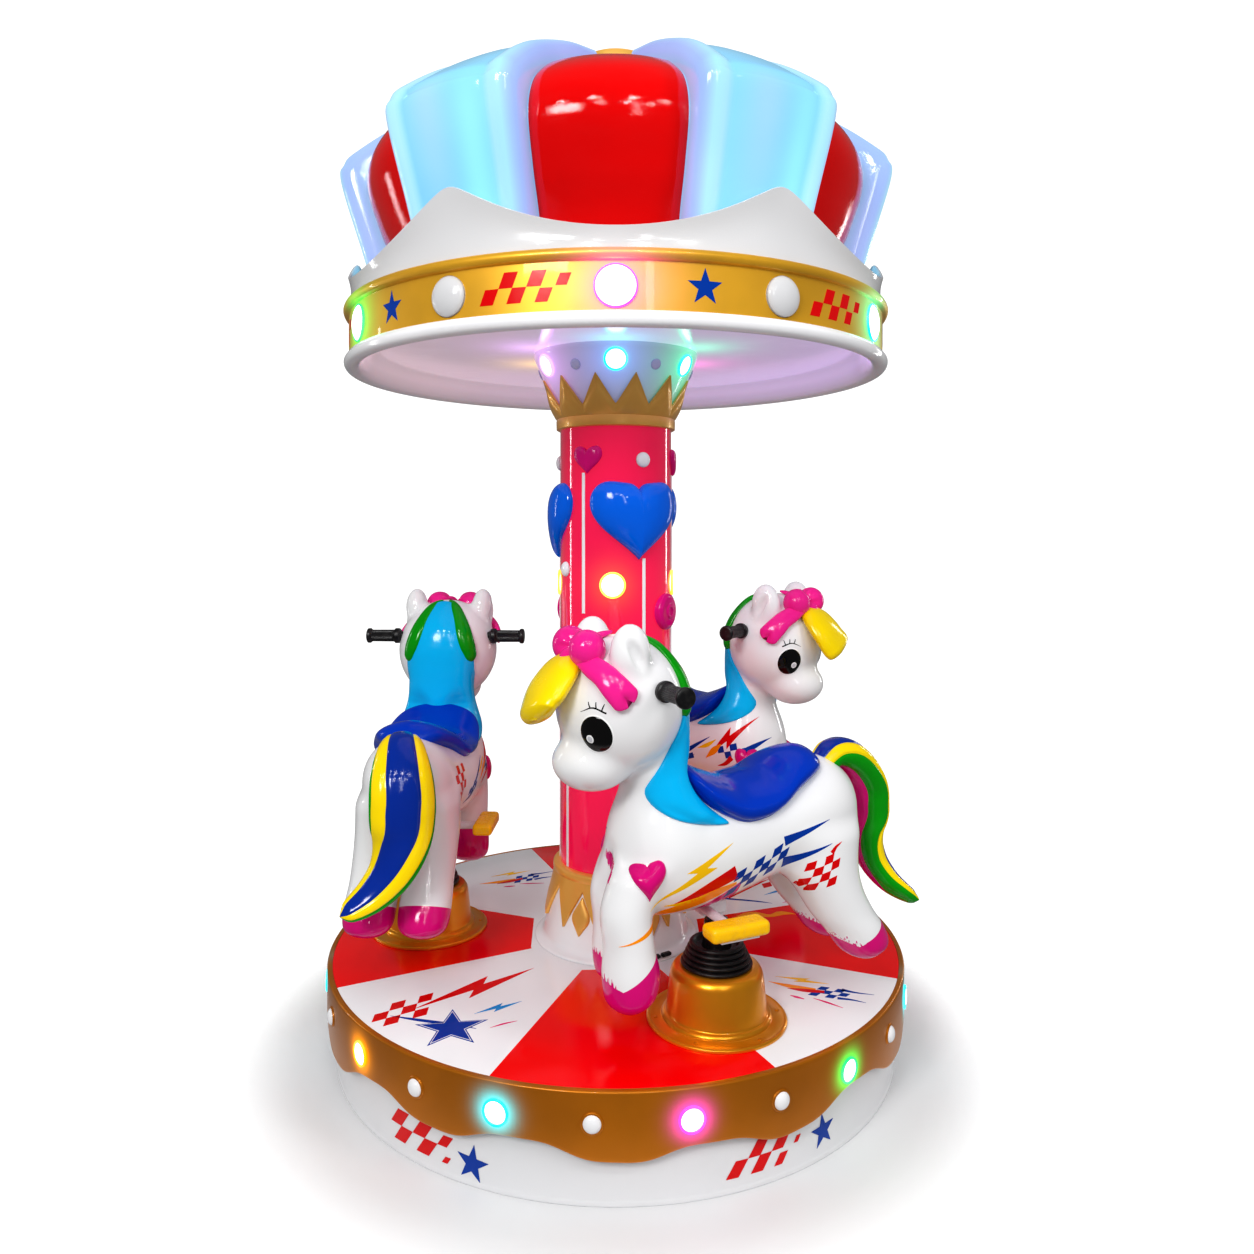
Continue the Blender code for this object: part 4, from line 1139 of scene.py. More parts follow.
class CAROUSEL_OT_deck(bpy.types.Operator):
    """Turning deck with its red and white painted sectors"""
    bl_idname = "carousel.deck"
    bl_label = "Deck"

    red_from: size("Red starts at", "Distance of the red sectors' inner edge from the axis", 0.210)

    def execute(self, context):
        sizes = context.scene.carousel_sizes
        outer = sizes.deck_radius - sizes.apron_thick - TOUCH
        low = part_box("deck")[0].z
        bm = bmesh.new()
        hub = bm.verts.new((0.0, 0.0, DECK_TOP))
        rings, reds = [], []
        for left, right, red in zip(SECTOR_BORDERS, SECTOR_BORDERS[1:], SECTOR_RED):
            steps = max(int((right - left) / 1.5), 2)
            for k in range(steps):
                bearing = left + (right - left) * k / steps
                flat = self.red_from / math.cos(math.radians(bearing - (left + right) / 2.0))
                edge = ((0.10, DECK_TOP), (flat, DECK_TOP), ((flat + outer) / 2.0, DECK_TOP),
                        (outer - 0.002, DECK_TOP), (outer, DECK_TOP - 0.001), (outer, low))
                rings.append([bm.verts.new(polar(r, bearing, z)) for r, z in edge])
                reds.append(red)
        base = bm.verts.new((0.0, 0.0, low))
        for row, after, red in zip(rings, rings[1:] + rings[:1], reds):
            bm.faces.new((hub, row[0], after[0]))
            for i in range(len(row) - 1):
                face = bm.faces.new((row[i], row[i + 1], after[i + 1], after[i]))
                face.material_index = 1 if red and i >= 1 else 0
            bm.faces.new((row[-1], base, after[-1]))
        bmesh.ops.recalc_face_normals(bm, faces=bm.faces)
        deck = piece("painted_deck", bm, ("white", "red"))
        mount(deck, "turntable", "red_shell", "deck")
        return {"FINISHED"}


class CAROUSEL_OT_apron(bpy.types.Operator):
    """Gold apron with its dripping hem, twelve lamps and twelve domes"""
    bl_idname = "carousel.apron"
    bl_label = "Apron"

    def execute(self, context):
        sizes = context.scene.carousel_sizes
        outer, inner = sizes.deck_radius, sizes.deck_radius - sizes.apron_thick
        steps = 480
        rows = []
        for k in range(steps):
            bearing = 360.0 * k / steps
            hem = hem_at(bearing)
            face = [(outer, z) for z in np.linspace(DECK_TOP, hem, 14)]
            corners = [(inner, DECK_TOP)] + face + [(inner + 0.003, hem)]
            radii = [0.001, 0.006] + [0.0] * 12 + [0.006, 0.002]
            rows.append(stood(rounded(corners, radii, closed=True), bearing))
        apron = skin("gold_apron", rows, "apron", along=True)
        lamps = lamp_places(APRON_LAMPS, APRON_LAMP_START, outer, APRON_LAMP_Z)
        halo(apron, lamps, 0.015, 0.024)
        mount(apron, "turntable", "gold_shell", "apron")
        lamp_rings("apron_lamps", APRON_LAMPS, APRON_LAMP_START, outer, APRON_LAMP_Z, 0.0215)
        row = (12, outer, APRON_LAMP_Z, APRON_DOME_START)
        button_row("apron_domes", button_profile(0.0175, 0.011, 0.0012), "white", "white_shell", *row)
        seat = rounded(((0.0, 0.0024), (0.0205, 0.0024), (0.0225, -0.002)), 0.0012)
        button_row("apron_dome_seats", seat, "apron", "gold_shell", *row)
        return {"FINISHED"}


class CAROUSEL_OT_foot(bpy.types.Operator):
    """White cone foot of the column and the gold collar with its teeth and drops"""
    bl_idname = "carousel.foot"
    bl_label = "Column foot"

    tooth_tip: size("Tooth tip", "Height of the tips of the collar's twelve teeth", 0.290)
    drop_half: size("Drop half width", "Half of the width of the six drops below", 0.029)

    def execute(self, context):
        low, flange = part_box("column_foot")[0].z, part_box("column_foot")[1].x
        corners = ((0.0, COLLAR_LOW - TOUCH), (CONE_TOP, COLLAR_LOW - TOUCH),
                   (CONE_FOOT, DECK_TOP + CONE_LOW), (flange, DECK_TOP + 0.006), (flange, low), (0.0, low))
        foot = turned("white_foot", rounded(corners, (0, 0.004, 0.010, 0.004, 0.002, 0)), "white")
        mount(foot, "turntable", "white_shell", "column_foot")
        corners = ((0.0, COLLAR_TOP), (0.148, COLLAR_TOP), (0.157, COLLAR_TOP - 0.003),
                   (0.158, COLLAR_LOW + 0.008), (0.153, COLLAR_LOW), (0.0, COLLAR_LOW))
        collar = turned("lower_gold_ring", rounded(corners, 0.004), "collar")
        mount(collar, "turntable", "gold_shell", "lower_collar")
        self.teeth()
        drops = []
        outline = rounded(((0.0, 0.048), (self.drop_half, -0.002), (0.0, -0.042),
                           (-self.drop_half, -0.002)), (0.004, 0.016, 0.003, 0.016), closed=True, steps=10)
        for k in range(6):
            def laid(x, y, lift, bearing=30.0 + 60.0 * k):
                height = DROP_MIDDLE + y
                around = self.cone(height)
                return polar(around + 0.001 + lift, bearing + math.degrees(x / around), height)
            drops.append(cushion("drop", outline, (0.0, 0.002), 0.007, laid, "collar", 3.0))
        mount(join("collar_drops", drops), "turntable", "gold_shell")
        self.catch()
        return {"FINISHED"}

    @staticmethod
    def cone(height):
        """Radius of the white cone at a height."""
        share = (COLLAR_LOW - height) / (COLLAR_LOW - DECK_TOP - CONE_LOW)
        return CONE_TOP + (CONE_FOOT - CONE_TOP) * share

    def teeth(self):
        """Gold skirt below the ring, cut into twelve long teeth."""
        steps, rows = 432, []
        for k in range(steps):
            away = abs((12.0 * k / steps) % 1.0 - 0.5) * 2.0
            hem = self.tooth_tip + (TOOTH_VALLEY - self.tooth_tip) * away ** 0.9
            heights = np.linspace(COLLAR_LOW + 0.006, hem, 9)
            crease = 0.0040 * (1.0 - away)
            front = [(self.cone(z) + 0.0060 + crease * t, z)
                     for t, z in zip(np.linspace(0.0, 1.0, 9), heights)]
            at_hem = self.cone(hem)
            lip = [(at_hem + 0.0045 + crease, hem - 0.0022), (at_hem + 0.0015, hem - 0.0026)]
            back = [(self.cone(z) + 0.0004, z) for z in heights[::-1]]
            rows.append(stood(front + lip + back, 360.0 * k / steps))
        teeth = skin("collar_teeth", rows, "collar", along=True, sharp=50.0)
        mount(teeth, "turntable", "gold_shell")

    def catch(self):
        """Small black latch at the foot's flange."""
        bm = bmesh.new()
        for x, wide in ((-0.012, 0.020), (0.016, 0.026)):
            made = bmesh.ops.create_cube(bm, size=1.0)
            bmesh.ops.scale(bm, vec=(wide, 0.012, 0.008), verts=made["verts"])
            bmesh.ops.translate(bm, vec=(x, 0.0, 0.0), verts=made["verts"])
        bmesh.ops.bevel(bm, geom=list(bm.edges), offset=0.002, segments=2, affect="EDGES")
        catch = piece("foot_catch", bm, "rubber")
        place = Matrix.Translation(polar(0.199, 32.0, DECK_TOP + 0.013))
        put(catch, place @ Matrix.Rotation(math.radians(32.0), 4, "Z"))
        mount(catch, "turntable", "black_rubber")


def heart_outline(width, height, fill=3.8):
    """Points round a plump heart, as offsets from its middle. fill makes its notch shallower."""
    raw = []
    for k in range(72):
        t = math.pi * (k + 0.5) / 36.0
        across = math.copysign(16.0 * abs(math.sin(t)) ** 2.2, math.sin(t))
        up = 13.0 * math.cos(t) - 5.0 * math.cos(2.0 * t) - 2.0 * math.cos(3.0 * t) - math.cos(4.0 * t)
        up += fill * math.exp(-(across / 4.5) ** 2) if math.cos(t) > 0.0 else 0.0
        raw.append((across, up))
    ups = [up for _, up in raw]
    low, high = min(ups), max(ups)
    return [(x / 32.0 * width, (y - (low + high) / 2.0) / (high - low) * height) for x, y in raw]


def cushion(name, outline, middle, depth, laid, finish, power=2.4):
    """A crowned form over an outline, laid on a surface by a function of across, up and lift."""
    rows = [[laid(x, y, -0.004) for x, y in outline]]
    for scale in np.sin(np.linspace(math.pi / 2, 0.03, 16)):
        lift = depth * (1.0 - scale ** power) ** 0.5
        rows.append([laid(middle[0] + (x - middle[0]) * scale, middle[1] + (y - middle[1]) * scale, lift)
                     for x, y in outline])
    return skin(name, rows, finish, caps=True, sharp=60.0)


def puffy_heart(name, width, height, depth, laid, finish, fill=3.8, power=2.4):
    middle = (0.0, height * 0.04)
    return cushion(name, heart_outline(width, height, fill), middle, depth, laid, finish, power)


class CAROUSEL_OT_column(bpy.types.Operator):
    """Lit column with its hearts, buttons, lamps and white strips"""
    bl_idname = "carousel.column"
    bl_label = "Lit column"

    def execute(self, context):
        sizes = context.scene.carousel_sizes
        radius = sizes.column_radius
        low, high = COLUMN_LOW, COLUMN_TOP
        outside = [(radius, z) for z in np.linspace(high, low, 60)]
        profile = outside + [(radius - 0.005, low), (radius - 0.005, high)]
        column = turned("lit_tube", profile, "column", steps=120, closed=True)
        points = vertices(column)
        lamps = lamp_places(COLUMN_LAMPS, COLUMN_LAMP_START, radius, COLUMN_LAMP_Z)
        glow = np.array((0.95, 0.02, 0.10)) * np.ones((len(points), 1))
        bearing = np.degrees(np.arctan2(points[:, 0], -points[:, 1]))
        band = 0.82 + 0.18 * np.cos(np.radians(bearing * 3.0 + 20.0)) * np.cos(points[:, 2] * 9.0)
        glow *= band[:, None]
        # Painted light: the yellow lamps' glow spilled on the column round each lamp.
        for place, _ in lamps:
            away = np.linalg.norm(points - np.array(place), axis=1)
            glow += np.exp(-(np.maximum(away - 0.03, 0.0) / 0.03) ** 1.3)[:, None] * (0.5, 0.22, 0.0)
        paint_points(column, "lit", glow)
        mount(column, "turntable", "lit_column", "column")
        for number, bearing in enumerate(HEART_BEARINGS, 1):
            laid = on_round(radius, bearing, sizes.heart_middle)
            heart = puffy_heart("blue_heart_%d" % number, sizes.heart_width, sizes.heart_height,
                                sizes.heart_depth, laid, "heart")
            mount(heart, "turntable", "heart_blue", "big_heart_%d" % number)
        for number, bearing in enumerate((-29.0, 91.0, 211.0), 1):
            laid = on_round(radius, bearing, 1.409)
            heart = puffy_heart("small_heart_%d" % number, 0.077, 0.067, 0.013, laid,
                                "magenta", fill=1.5, power=4.0)
            mount(heart, "turntable", "tail_bands")
        dome = button_profile(0.0185, 0.011, 0.0015)
        button_row("column_domes_upper", dome, "white", "white_shell", 3, radius, 1.409, 28.0)
        button_row("column_domes_lower", dome, "white", "white_shell", 2, radius, 1.144, -61.0)
        lamp_rings("column_lamps", COLUMN_LAMPS, COLUMN_LAMP_START, radius + 0.001, COLUMN_LAMP_Z,
                   0.0265, bulge=0.009)
        disc = rounded(((0.0, 0.013), (0.009, 0.013), (0.011, 0.016), (0.015, 0.016), (0.018, 0.012),
                        (0.036, 0.012), (0.045, 0.006), (0.045, -0.012)), 0.003)
        button_row("column_discs", disc, "magenta", "tail_bands", 2, radius, 1.040, 61.0, steps=56)
        self.strips(radius)
        return {"FINISHED"}

    def strips(self, radius):
        """White strips that run down the column from the ornaments."""
        runs = ((-33.5, 1.038, 1.378), (28.8, COLUMN_LOW, 1.172), (78.0, COLUMN_LOW, 1.0),
                (-57.0, COLUMN_LOW, 0.80), (86.5, 1.038, 1.378), (206.5, 1.038, 1.378),
                (148.8, COLUMN_LOW, 1.172), (-91.2, COLUMN_LOW, 1.172), (198.0, COLUMN_LOW, 1.0))
        half, parts = 0.0042, []
        section = rounded(((-half, -0.001), (-half, 0.0022), (half, 0.0022), (half, -0.001)),
                          0.0012, closed=True)
        for bearing, low, high in runs:
            laid = on_round(radius, bearing, 0.0)
            rows = [[laid(x, z, lift) for x, lift in section]
                    for z in np.linspace(low + 0.001, high, 12)]
            parts.append(skin("strip", rows, "white", caps=True))
        mount(join("white_strips", parts), "turntable", "white_shell")


class CAROUSEL_OT_capital(bpy.types.Operator):
    """Gold collar of flared leaves and the white bowl with its lamps"""
    bl_idname = "carousel.capital"
    bl_label = "Capital"

    leaf_bulge: size("Leaf bulge", "How far a leaf's middle stands out from its edges", 0.007)

    def execute(self, context):
        corners = ((0.198, BOWL_TOP), (0.206, BOWL_TOP), (0.206, 1.671), (0.180, 1.611),
                   (0.157, 1.560), (0.1405, BOWL_LOW), (0.130, BOWL_LOW), (0.148, 1.560), (0.198, 1.671))
        profile = [*corners[:2], *curve(corners[2:6], 30), *corners[6:]]
        # Its darkened white is painted shade.
        bowl = turned("white_bowl", profile, "bowl", steps=180, closed=True)
        # Painted light: the lamps' glow round each lamp on the bowl.
        halo(bowl, lamp_places(BOWL_LAMPS, 0.0, 0.196, BOWL_LAMP_Z, BOWL_PAINTED_GLOW), 0.062, 0.020)
        mount(bowl, "turntable", "white_shell", "upper_bowl")
        lamp_rings("bowl_lamps", BOWL_LAMPS, 0.0, 0.1935, BOWL_LAMP_Z, 0.0235, tilt=-23.0, bulge=0.005)
        button_row("bowl_studs", button_profile(0.0130, 0.003, 0.001), "stud", "white_shell",
                   6, 0.190, 1.632, 30.0, tilt=-23.0)
        self.leaves()
        return {"FINISHED"}

    def leaves(self):
        """A ring whose upper edge rises into twelve pointed leaves that flare out."""
        ring_top, valley, count, per = 1.516, 1.541, 12, 28
        rows = []
        for k in range(count * per):
            bearing = 15.0 + 360.0 * k / (count * per)
            away = abs((k / per + 0.5) % 1.0 - 0.5) * 2.0
            tip = valley + (LEAF_TOP - valley) * (1.0 - away) ** 1.15
            round_out = self.leaf_bulge * (1.0 - away ** 2)
            lift = np.linspace(0.0, 1.0, 10)
            heights = ring_top + 0.004 + (tip - ring_top - 0.004) * lift
            flare = 0.150 + 0.036 * ((heights - ring_top) / (LEAF_TOP - ring_top)) ** 1.15
            swell = round_out * np.sin(np.clip(lift * 1.25, 0.0, 1.0) * math.pi) + 0.0015
            front = list(zip(flare + swell, heights))
            back = list(zip((flare - 0.004)[::-1], heights[::-1]))
            section = [(0.110, LEAF_RING_LOW), (0.1465, LEAF_RING_LOW), (0.1495, LEAF_RING_LOW + 0.002),
                       (0.1500, ring_top - 0.004), (0.1485, ring_top)] + front + back
            section += [(0.1425, ring_top), (0.110, ring_top)]
            rows.append(stood(section, bearing))
        leaves = skin("gold_leaves", rows, "collar", along=True, sharp=50.0)
        mount(leaves, "turntable", "gold_shell", "upper_collar")


class CAROUSEL_OT_ceiling(bpy.types.Operator):
    """White underside of the canopy with its rolled rim, lit by the bowl's lamps"""
    bl_idname = "carousel.ceiling"
    bl_label = "Canopy underside"

    def execute(self, context):
        rim = curve(((0.655, BAND_LOW - TOUCH), (0.663, 1.637), (0.659, 1.624), (0.645, 1.6185),
                     (0.630, 1.6235), (0.6225, 1.634)), 26)
        wall = curve(((0.6225, 1.634), (0.616, 1.650), (0.604, 1.669), (0.588, 1.679)), 14)[1:]
        ceiling = [(r, BOWL_TOP) for r in np.linspace(0.580, 0.205, 26)]
        profile = [(0.0, CEILING_TOP), (0.640, CEILING_TOP), (0.640, BAND_LOW - TOUCH)]
        profile += rim + wall + ceiling + [(0.0, BOWL_TOP)]
        under = turned("canopy_underside", profile, "white", steps=240)
        lamps = lamp_places(BOWL_LAMPS, 0.0, 0.235, BOWL_TOP)
        halo(under, lamps, 0.070)
        self.wash(under)
        mount(under, "turntable", "white_shell", "canopy_ceiling")
        return {"FINISHED"}

    @staticmethod
    def wash(under):
        """Add the violet light that fills the recess to the glow of the lamps."""
        layer = under.data.color_attributes["glow"]
        values = np.empty(len(under.data.vertices) * 4, np.float32)
        layer.data.foreach_get("color", values)
        values = values.reshape(-1, 4)
        points = vertices(under)
        radius = np.hypot(points[:, 0], points[:, 1])
        inside = np.clip((0.632 - radius) / 0.02, 0.0, 1.0)
        side = np.clip(points[:, 0] / 0.6 * 0.5 + 0.5, 0.0, 1.0)[:, None]
        warm, cool = np.array((0.34, 0.23, 0.26)), np.array((0.33, 0.22, 0.50))
        values[:, :3] += inside[:, None] * (warm * (1.0 - side) + cool * side)
        layer.data.foreach_set("color", values.ravel())


class CAROUSEL_OT_band(bpy.types.Operator):
    """Gold band of the canopy with its bead, lamps, domes and stickers"""
    bl_idname = "carousel.band"
    bl_label = "Canopy band"

    def execute(self, context):
        radius = context.scene.carousel_sizes.band_radius
        face = [(radius, z) for z in np.linspace(1.742, BAND_LOW, 14)]
        bead = curve(((0.652, BEAD_TOP), (0.660, 1.7635), (0.664, 1.7545), (0.660, 1.7455),
                      (0.652, 1.7425)), 14)
        profile = [(0.6405, BEAD_TOP), *bead, *face, (0.6405, BAND_LOW)]
        band = turned("gold_band", profile, "band", steps=480, closed=True)
        halo(band, lamp_places(BAND_LAMPS, 0.0, radius, BAND_LAMP_Z), 0.045, 0.040)
        mount(band, "turntable", "gold_shell", "canopy_band")
        lamp_rings("band_lamps", BAND_LAMPS, 0.0, radius, BAND_LAMP_Z, 0.0385, bulge=0.012, rim=1.08)
        # The domes take the crown's darkened white, which is painted shade.
        button_row("band_domes", button_profile(0.0405, 0.018, 0.003), "crown", "white_shell",
                   6, radius, BAND_LAMP_Z, 30.0)
        stars, checks = [], []
        for k in range(6):
            laid = on_round(radius, 15.0 + 60.0 * k, BAND_LAMP_Z + 0.002)
            stars.append(decal("star", [star_outline(0.0365)], laid, "decal_blue"))
            laid = on_round(radius, 45.0 + 60.0 * k, BAND_LAMP_Z + 0.003)
            checks.append(decal("checks", check_outlines((0.0285, 0.030), slant=0.40, taper=0.12),
                                laid, "decal_red"))
        mount(join("band_stars", stars), "turntable", "heart_blue")
        mount(join("band_checks", checks), "turntable", "red_shell")
        return {"FINISHED"}


class CAROUSEL_OT_crown(bpy.types.Operator):
    """White crown skirt with six peaks"""
    bl_idname = "carousel.crown"
    bl_label = "Crown skirt"

    def execute(self, context):
        sizes = context.scene.carousel_sizes
        steps = 360
        low = BEAD_TOP + TOUCH
        rows = []
        for k in range(steps):
            bearing = 360.0 * k / steps
            away = abs((bearing / 60.0) % 1.0 - 0.5) * 2.0
            near = 1.0 - (math.hypot(away, 0.07) - 0.07) / (math.hypot(1.0, 0.07) - 0.07)
            top = sizes.crown_valley + (sizes.crown_peak - sizes.crown_valley) * near ** 2.1
            outside = []
            for t in np.linspace(0.0, 1.0, 10):
                hollow = 0.006 * math.sin(math.pi * t) * (0.4 + near)
                outside.append((sizes.band_radius - hollow + 0.004 * t * near, low + (top - low) * t))
            lip = outside[-1][0]
            section = outside[:-1] + rounded([outside[-1], (lip - 0.0035, top + 0.0025),
                                              (lip - 0.007, top)], 0.002)
            inside = [(r - 0.007, z) for r, z in outside[-2::-1]]
            rows.append(stood(section + inside, bearing))
        # Its darkened white is painted shade.
        crown = skin("crown_skirt_shell", rows, "crown", along=True, sharp=50.0)
        mount(crown, "turntable", "white_shell", "crown_skirt")
        return {"FINISHED"}


ROOF_TURN = -1.4                  # degrees that the roof is turned against the band
RED_HALF = 15.0                   # degrees from a red panel's middle to its edge
RECESS = 0.0063                   # how far the lantern lies below the face of the red panels
CAP_DROP = 0.026                  # how much lower the cap's top is than its solid's


class CAROUSEL_OT_lantern(bpy.types.Operator):
    """Lit lantern with six rimmed lobes"""
    bl_idname = "carousel.lantern"
    bl_label = "Lantern"

    lobe_half: bpy.props.FloatProperty(name="Lobe half angle", default=14.1, min=5.0, max=25.0,
                                       description="Degrees from a lobe's middle to its edge")

    def execute(self, context):
        along = 64
        outside = spline(LOBE_PROFILE, along)
        recess = inset(spline(RED_PROFILE, along), np.full(along, RECESS))
        columns = []
        for sector in range(6):
            panel = 60.0 * sector + ROOF_TURN
            for bearing in np.linspace(panel - RED_HALF - 0.2, panel + RED_HALF + 0.2, 5):
                columns.append((bearing, recess, None))
            for across in np.linspace(-1.0, 1.0, 45):
                surface = inset(outside, self.drop(abs(across)) * np.ones(along))
                if abs(across) == 1.0:
                    foot = recess * 0.35 + surface * 0.65
                    columns.append((panel + 30.0 + across * (self.lobe_half + 0.6), foot, across))
                columns.append((panel + 30.0 + across * self.lobe_half, surface, across))
        columns.sort(key=lambda column: column[0])
        rows, light = [], []
        for bearing, surface, across in columns:
            rows.append(stood([*surface, *SHELL_INSIDE], bearing))
            light.append([self.light(across, i / (along - 1.0)) for i in range(along)]
                         + [(0.2, 0.3, 0.5)] * len(SHELL_INSIDE))
        shell = skin("lit_lantern_shell", rows, "lantern", along=True, sharp=55.0)
        paint_points(shell, "lit", np.array(light).reshape(-1, 3))
        mount(shell, "turntable", "lit_blue", "lantern_shell")
        return {"FINISHED"}

    @staticmethod
    def drop(away):
        """How far a lobe lies below its rim's crest, from its middle at 0 to its edge at 1."""
        if away < 0.66:
            return 0.004 + 0.006 * (away / 0.66) ** 4
        if away < 0.72:
            return 0.010 - 0.006 * math.sin((away - 0.66) / 0.06 * math.pi / 2)
        crest = (away - 0.82) / 0.18
        return 0.013 * crest ** 2 if crest > 0.0 else 0.004 * (crest / 0.55) ** 2

    @staticmethod
    def light(across, up):
        """Light from inside: cyan low down, blue in the middle, violet on the rims."""
        cyan, blue, violet = (np.array(v) for v in ((0.19, 0.50, 0.66), (0.27, 0.42, 0.72),
                                                    (0.34, 0.44, 0.68)))
        if across is None:
            return tuple(violet * 0.6)
        away = abs(across)
        middle = math.exp(-(((across + 0.18) / 0.30) ** 2) - ((up - 0.40) / 0.15) ** 2)
        bright = math.exp(-(((across - 0.42) / 0.22) ** 2) - ((up - 0.26) / 0.16) ** 2)
        colour = cyan * (0.85 + 0.35 * bright) * (1.0 - middle) + blue * middle
        rim = min(max((away - 0.62) / 0.10, 0.0), 1.0)
        side = min(max((away - 0.86) / 0.12, 0.0), 1.0)
        top = min(max((up - 0.55) / 0.35, 0.0), 1.0)
        colour = colour + np.array((0.16, 0.10, 0.02)) * rim
        colour = colour * (1.0 - 0.6 * top) + violet * (0.4 + 0.3 * rim) * top
        return tuple(colour * (1.0 - 0.6 * side) + np.array((0.30, 0.12, 0.60)) * 0.5 * side)


class CAROUSEL_OT_roof(bpy.types.Operator):
    """Six crowned red roof panels and the gold cap"""
    bl_idname = "carousel.roof"
    bl_label = "Roof panels and cap"

    crown: size("Panel crown", "How far a panel's middle stands out from its edges", 0.010)

    def execute(self, context):
        along = 56
        outside = spline(RED_PROFILE, along)
        under = inset(outside, np.full(along, 0.006))[::-1]
        for number in range(6):
            rows = []
            for x in np.linspace(-1.0, 1.0, 25):
                edge = max(abs(x) - 0.93, 0.0) / 0.07
                rise = self.crown * (1.0 - abs(x) ** 2.2) - 0.005 * edge ** 2
                top = inset(outside, -rise * np.sin(np.linspace(0.15, 0.97, along) * math.pi))
                rows.append(stood(np.vstack((top, under)), 60.0 * number + ROOF_TURN + RED_HALF * x))
            # Its darkened red is painted shade.
            panel = skin("roof_panel_%d" % (number + 1), rows, "roof", caps=True, sharp=60.0)
            mount(panel, "turntable", "red_shell", "red_panel_%d" % (number + 1))
        top = CAP_TOP - CAP_DROP
        crest = ((0.004, top), (0.040, top - 0.006), (0.072, top - 0.016), (0.090, top - 0.022))
        profile = [(0.0, top), *curve(crest, 20)]
        profile += rounded(((0.091, top - 0.024), (0.090, CAP_LOW), (0.0, CAP_LOW)), 0.003)
        cap = turned("gold_roof_cap", profile, "collar", steps=96)
        mount(cap, "turntable", "gold_shell", "gold_cap")
        return {"FINISHED"}


PONIES = ((1, -63.9, -92.0, 0.0), (2, 56.1, -92.0, 0.030), (3, 176.1, -88.5, 0.012))

# Pony forms, X forward, Y left and Z above the deck. The torso and saddle are ovals square to X:
# place along X, middle height, half width, half height.
TORSO = ((-0.336, 0.415, 0.028, 0.035), (-0.305, 0.415, 0.070, 0.080),
         (-0.245, 0.420, 0.100, 0.105), (-0.150, 0.405, 0.112, 0.106),
         (-0.040, 0.383, 0.117, 0.116), (0.060, 0.374, 0.119, 0.130),
         (0.150, 0.378, 0.118, 0.134), (0.205, 0.372, 0.092, 0.112),
         (0.238, 0.360, 0.048, 0.064))
SADDLE_FORM = ((0.106, 0.531, 0.050, 0.012), (0.088, 0.517, 0.092, 0.027),
               (0.065, 0.497, 0.113, 0.036), (0.030, 0.477, 0.122, 0.041),
               (-0.010, 0.463, 0.126, 0.043), (-0.060, 0.466, 0.124, 0.042),
               (-0.100, 0.478, 0.116, 0.038), (-0.145, 0.503, 0.100, 0.039),
               (-0.190, 0.519, 0.082, 0.034), (-0.218, 0.520, 0.060, 0.026),
               (-0.236, 0.515, 0.032, 0.012))
# The neck, legs and mane are level ovals: place along X, height, half length, half width.
NECK = ((0.134, 0.400, 0.074, 0.090), (0.145, 0.480, 0.060, 0.082), (0.172, 0.600, 0.066, 0.076))
FRONT_LEG = ((0.206, 0.365, 0.054, 0.053), (0.235, 0.285, 0.051, 0.052),
             (0.231, 0.215, 0.050, 0.052), (0.226, 0.160, 0.057, 0.056),
             (0.228, 0.118, 0.050, 0.054), (0.236, 0.090, 0.030, 0.040))
REAR_LEG = ((-0.212, 0.390, 0.100, 0.056), (-0.216, 0.310, 0.090, 0.058),
            (-0.240, 0.255, 0.076, 0.057), (-0.270, 0.205, 0.072, 0.056),
            (-0.302, 0.165, 0.068, 0.058), (-0.322, 0.128, 0.060, 0.056),
            (-0.322, 0.098, 0.034, 0.042))
MANE = ((0.190, 0.812, 0.016, 0.020), (0.172, 0.785, 0.031, 0.042), (0.150, 0.745, 0.044, 0.060),
        (0.132, 0.690, 0.044, 0.078), (0.128, 0.640, 0.045, 0.085), (0.131, 0.590, 0.050, 0.086),
        (0.137, 0.550, 0.060, 0.090), (0.138, 0.515, 0.070, 0.100), (0.126, 0.485, 0.078, 0.111),
        (0.098, 0.460, 0.072, 0.116), (0.076, 0.440, 0.044, 0.111))
# Edge of the mane as seen from the side, place along X and height.
MANE_OUTLINE = ((0.205, 0.850), (0.176, 0.802), (0.140, 0.762), (0.124, 0.700), (0.128, 0.645),
                (0.146, 0.604), (0.166, 0.566), (0.185, 0.534), (0.195, 0.506), (0.187, 0.482),
                (0.162, 0.463), (0.128, 0.450), (0.090, 0.441), (0.052, 0.436), (0.030, 0.438),
                (0.052, 0.456), (0.078, 0.478), (0.100, 0.506), (0.111, 0.545), (0.090, 0.600),
                (0.060, 0.680), (0.070, 0.780), (0.130, 0.850))
LEG_V, RIGHT_LEG_BACK = 0.062, 0.032
HEAD_AT, HEAD_R = (0.222, 0.0, 0.672), (0.127, 0.134, 0.137)
MUZZLE_AT, MUZZLE_R = (0.281, 0.0, 0.563), (0.079, 0.080, 0.058)
EAR_AT, EAR_R = (0.242, 0.093, 0.782), (0.040, 0.030, 0.056)
HOLLOW_AT, HOLLOW_R = (0.238, 0.121, 0.779), (0.043, 0.010, 0.013)
BOW_AT, BOW_R = (0.310, 0.045, 0.788), (0.036, 0.036, 0.038)
KNOT_AT, KNOT_R = (0.330, 0.0, 0.764), (0.020, 0.022, 0.024)
EYE_AT, EYE_R, EYE_LEAN = (0.3235, 0.100, 0.627), (0.0332, 0.0368), math.radians(-24.0)
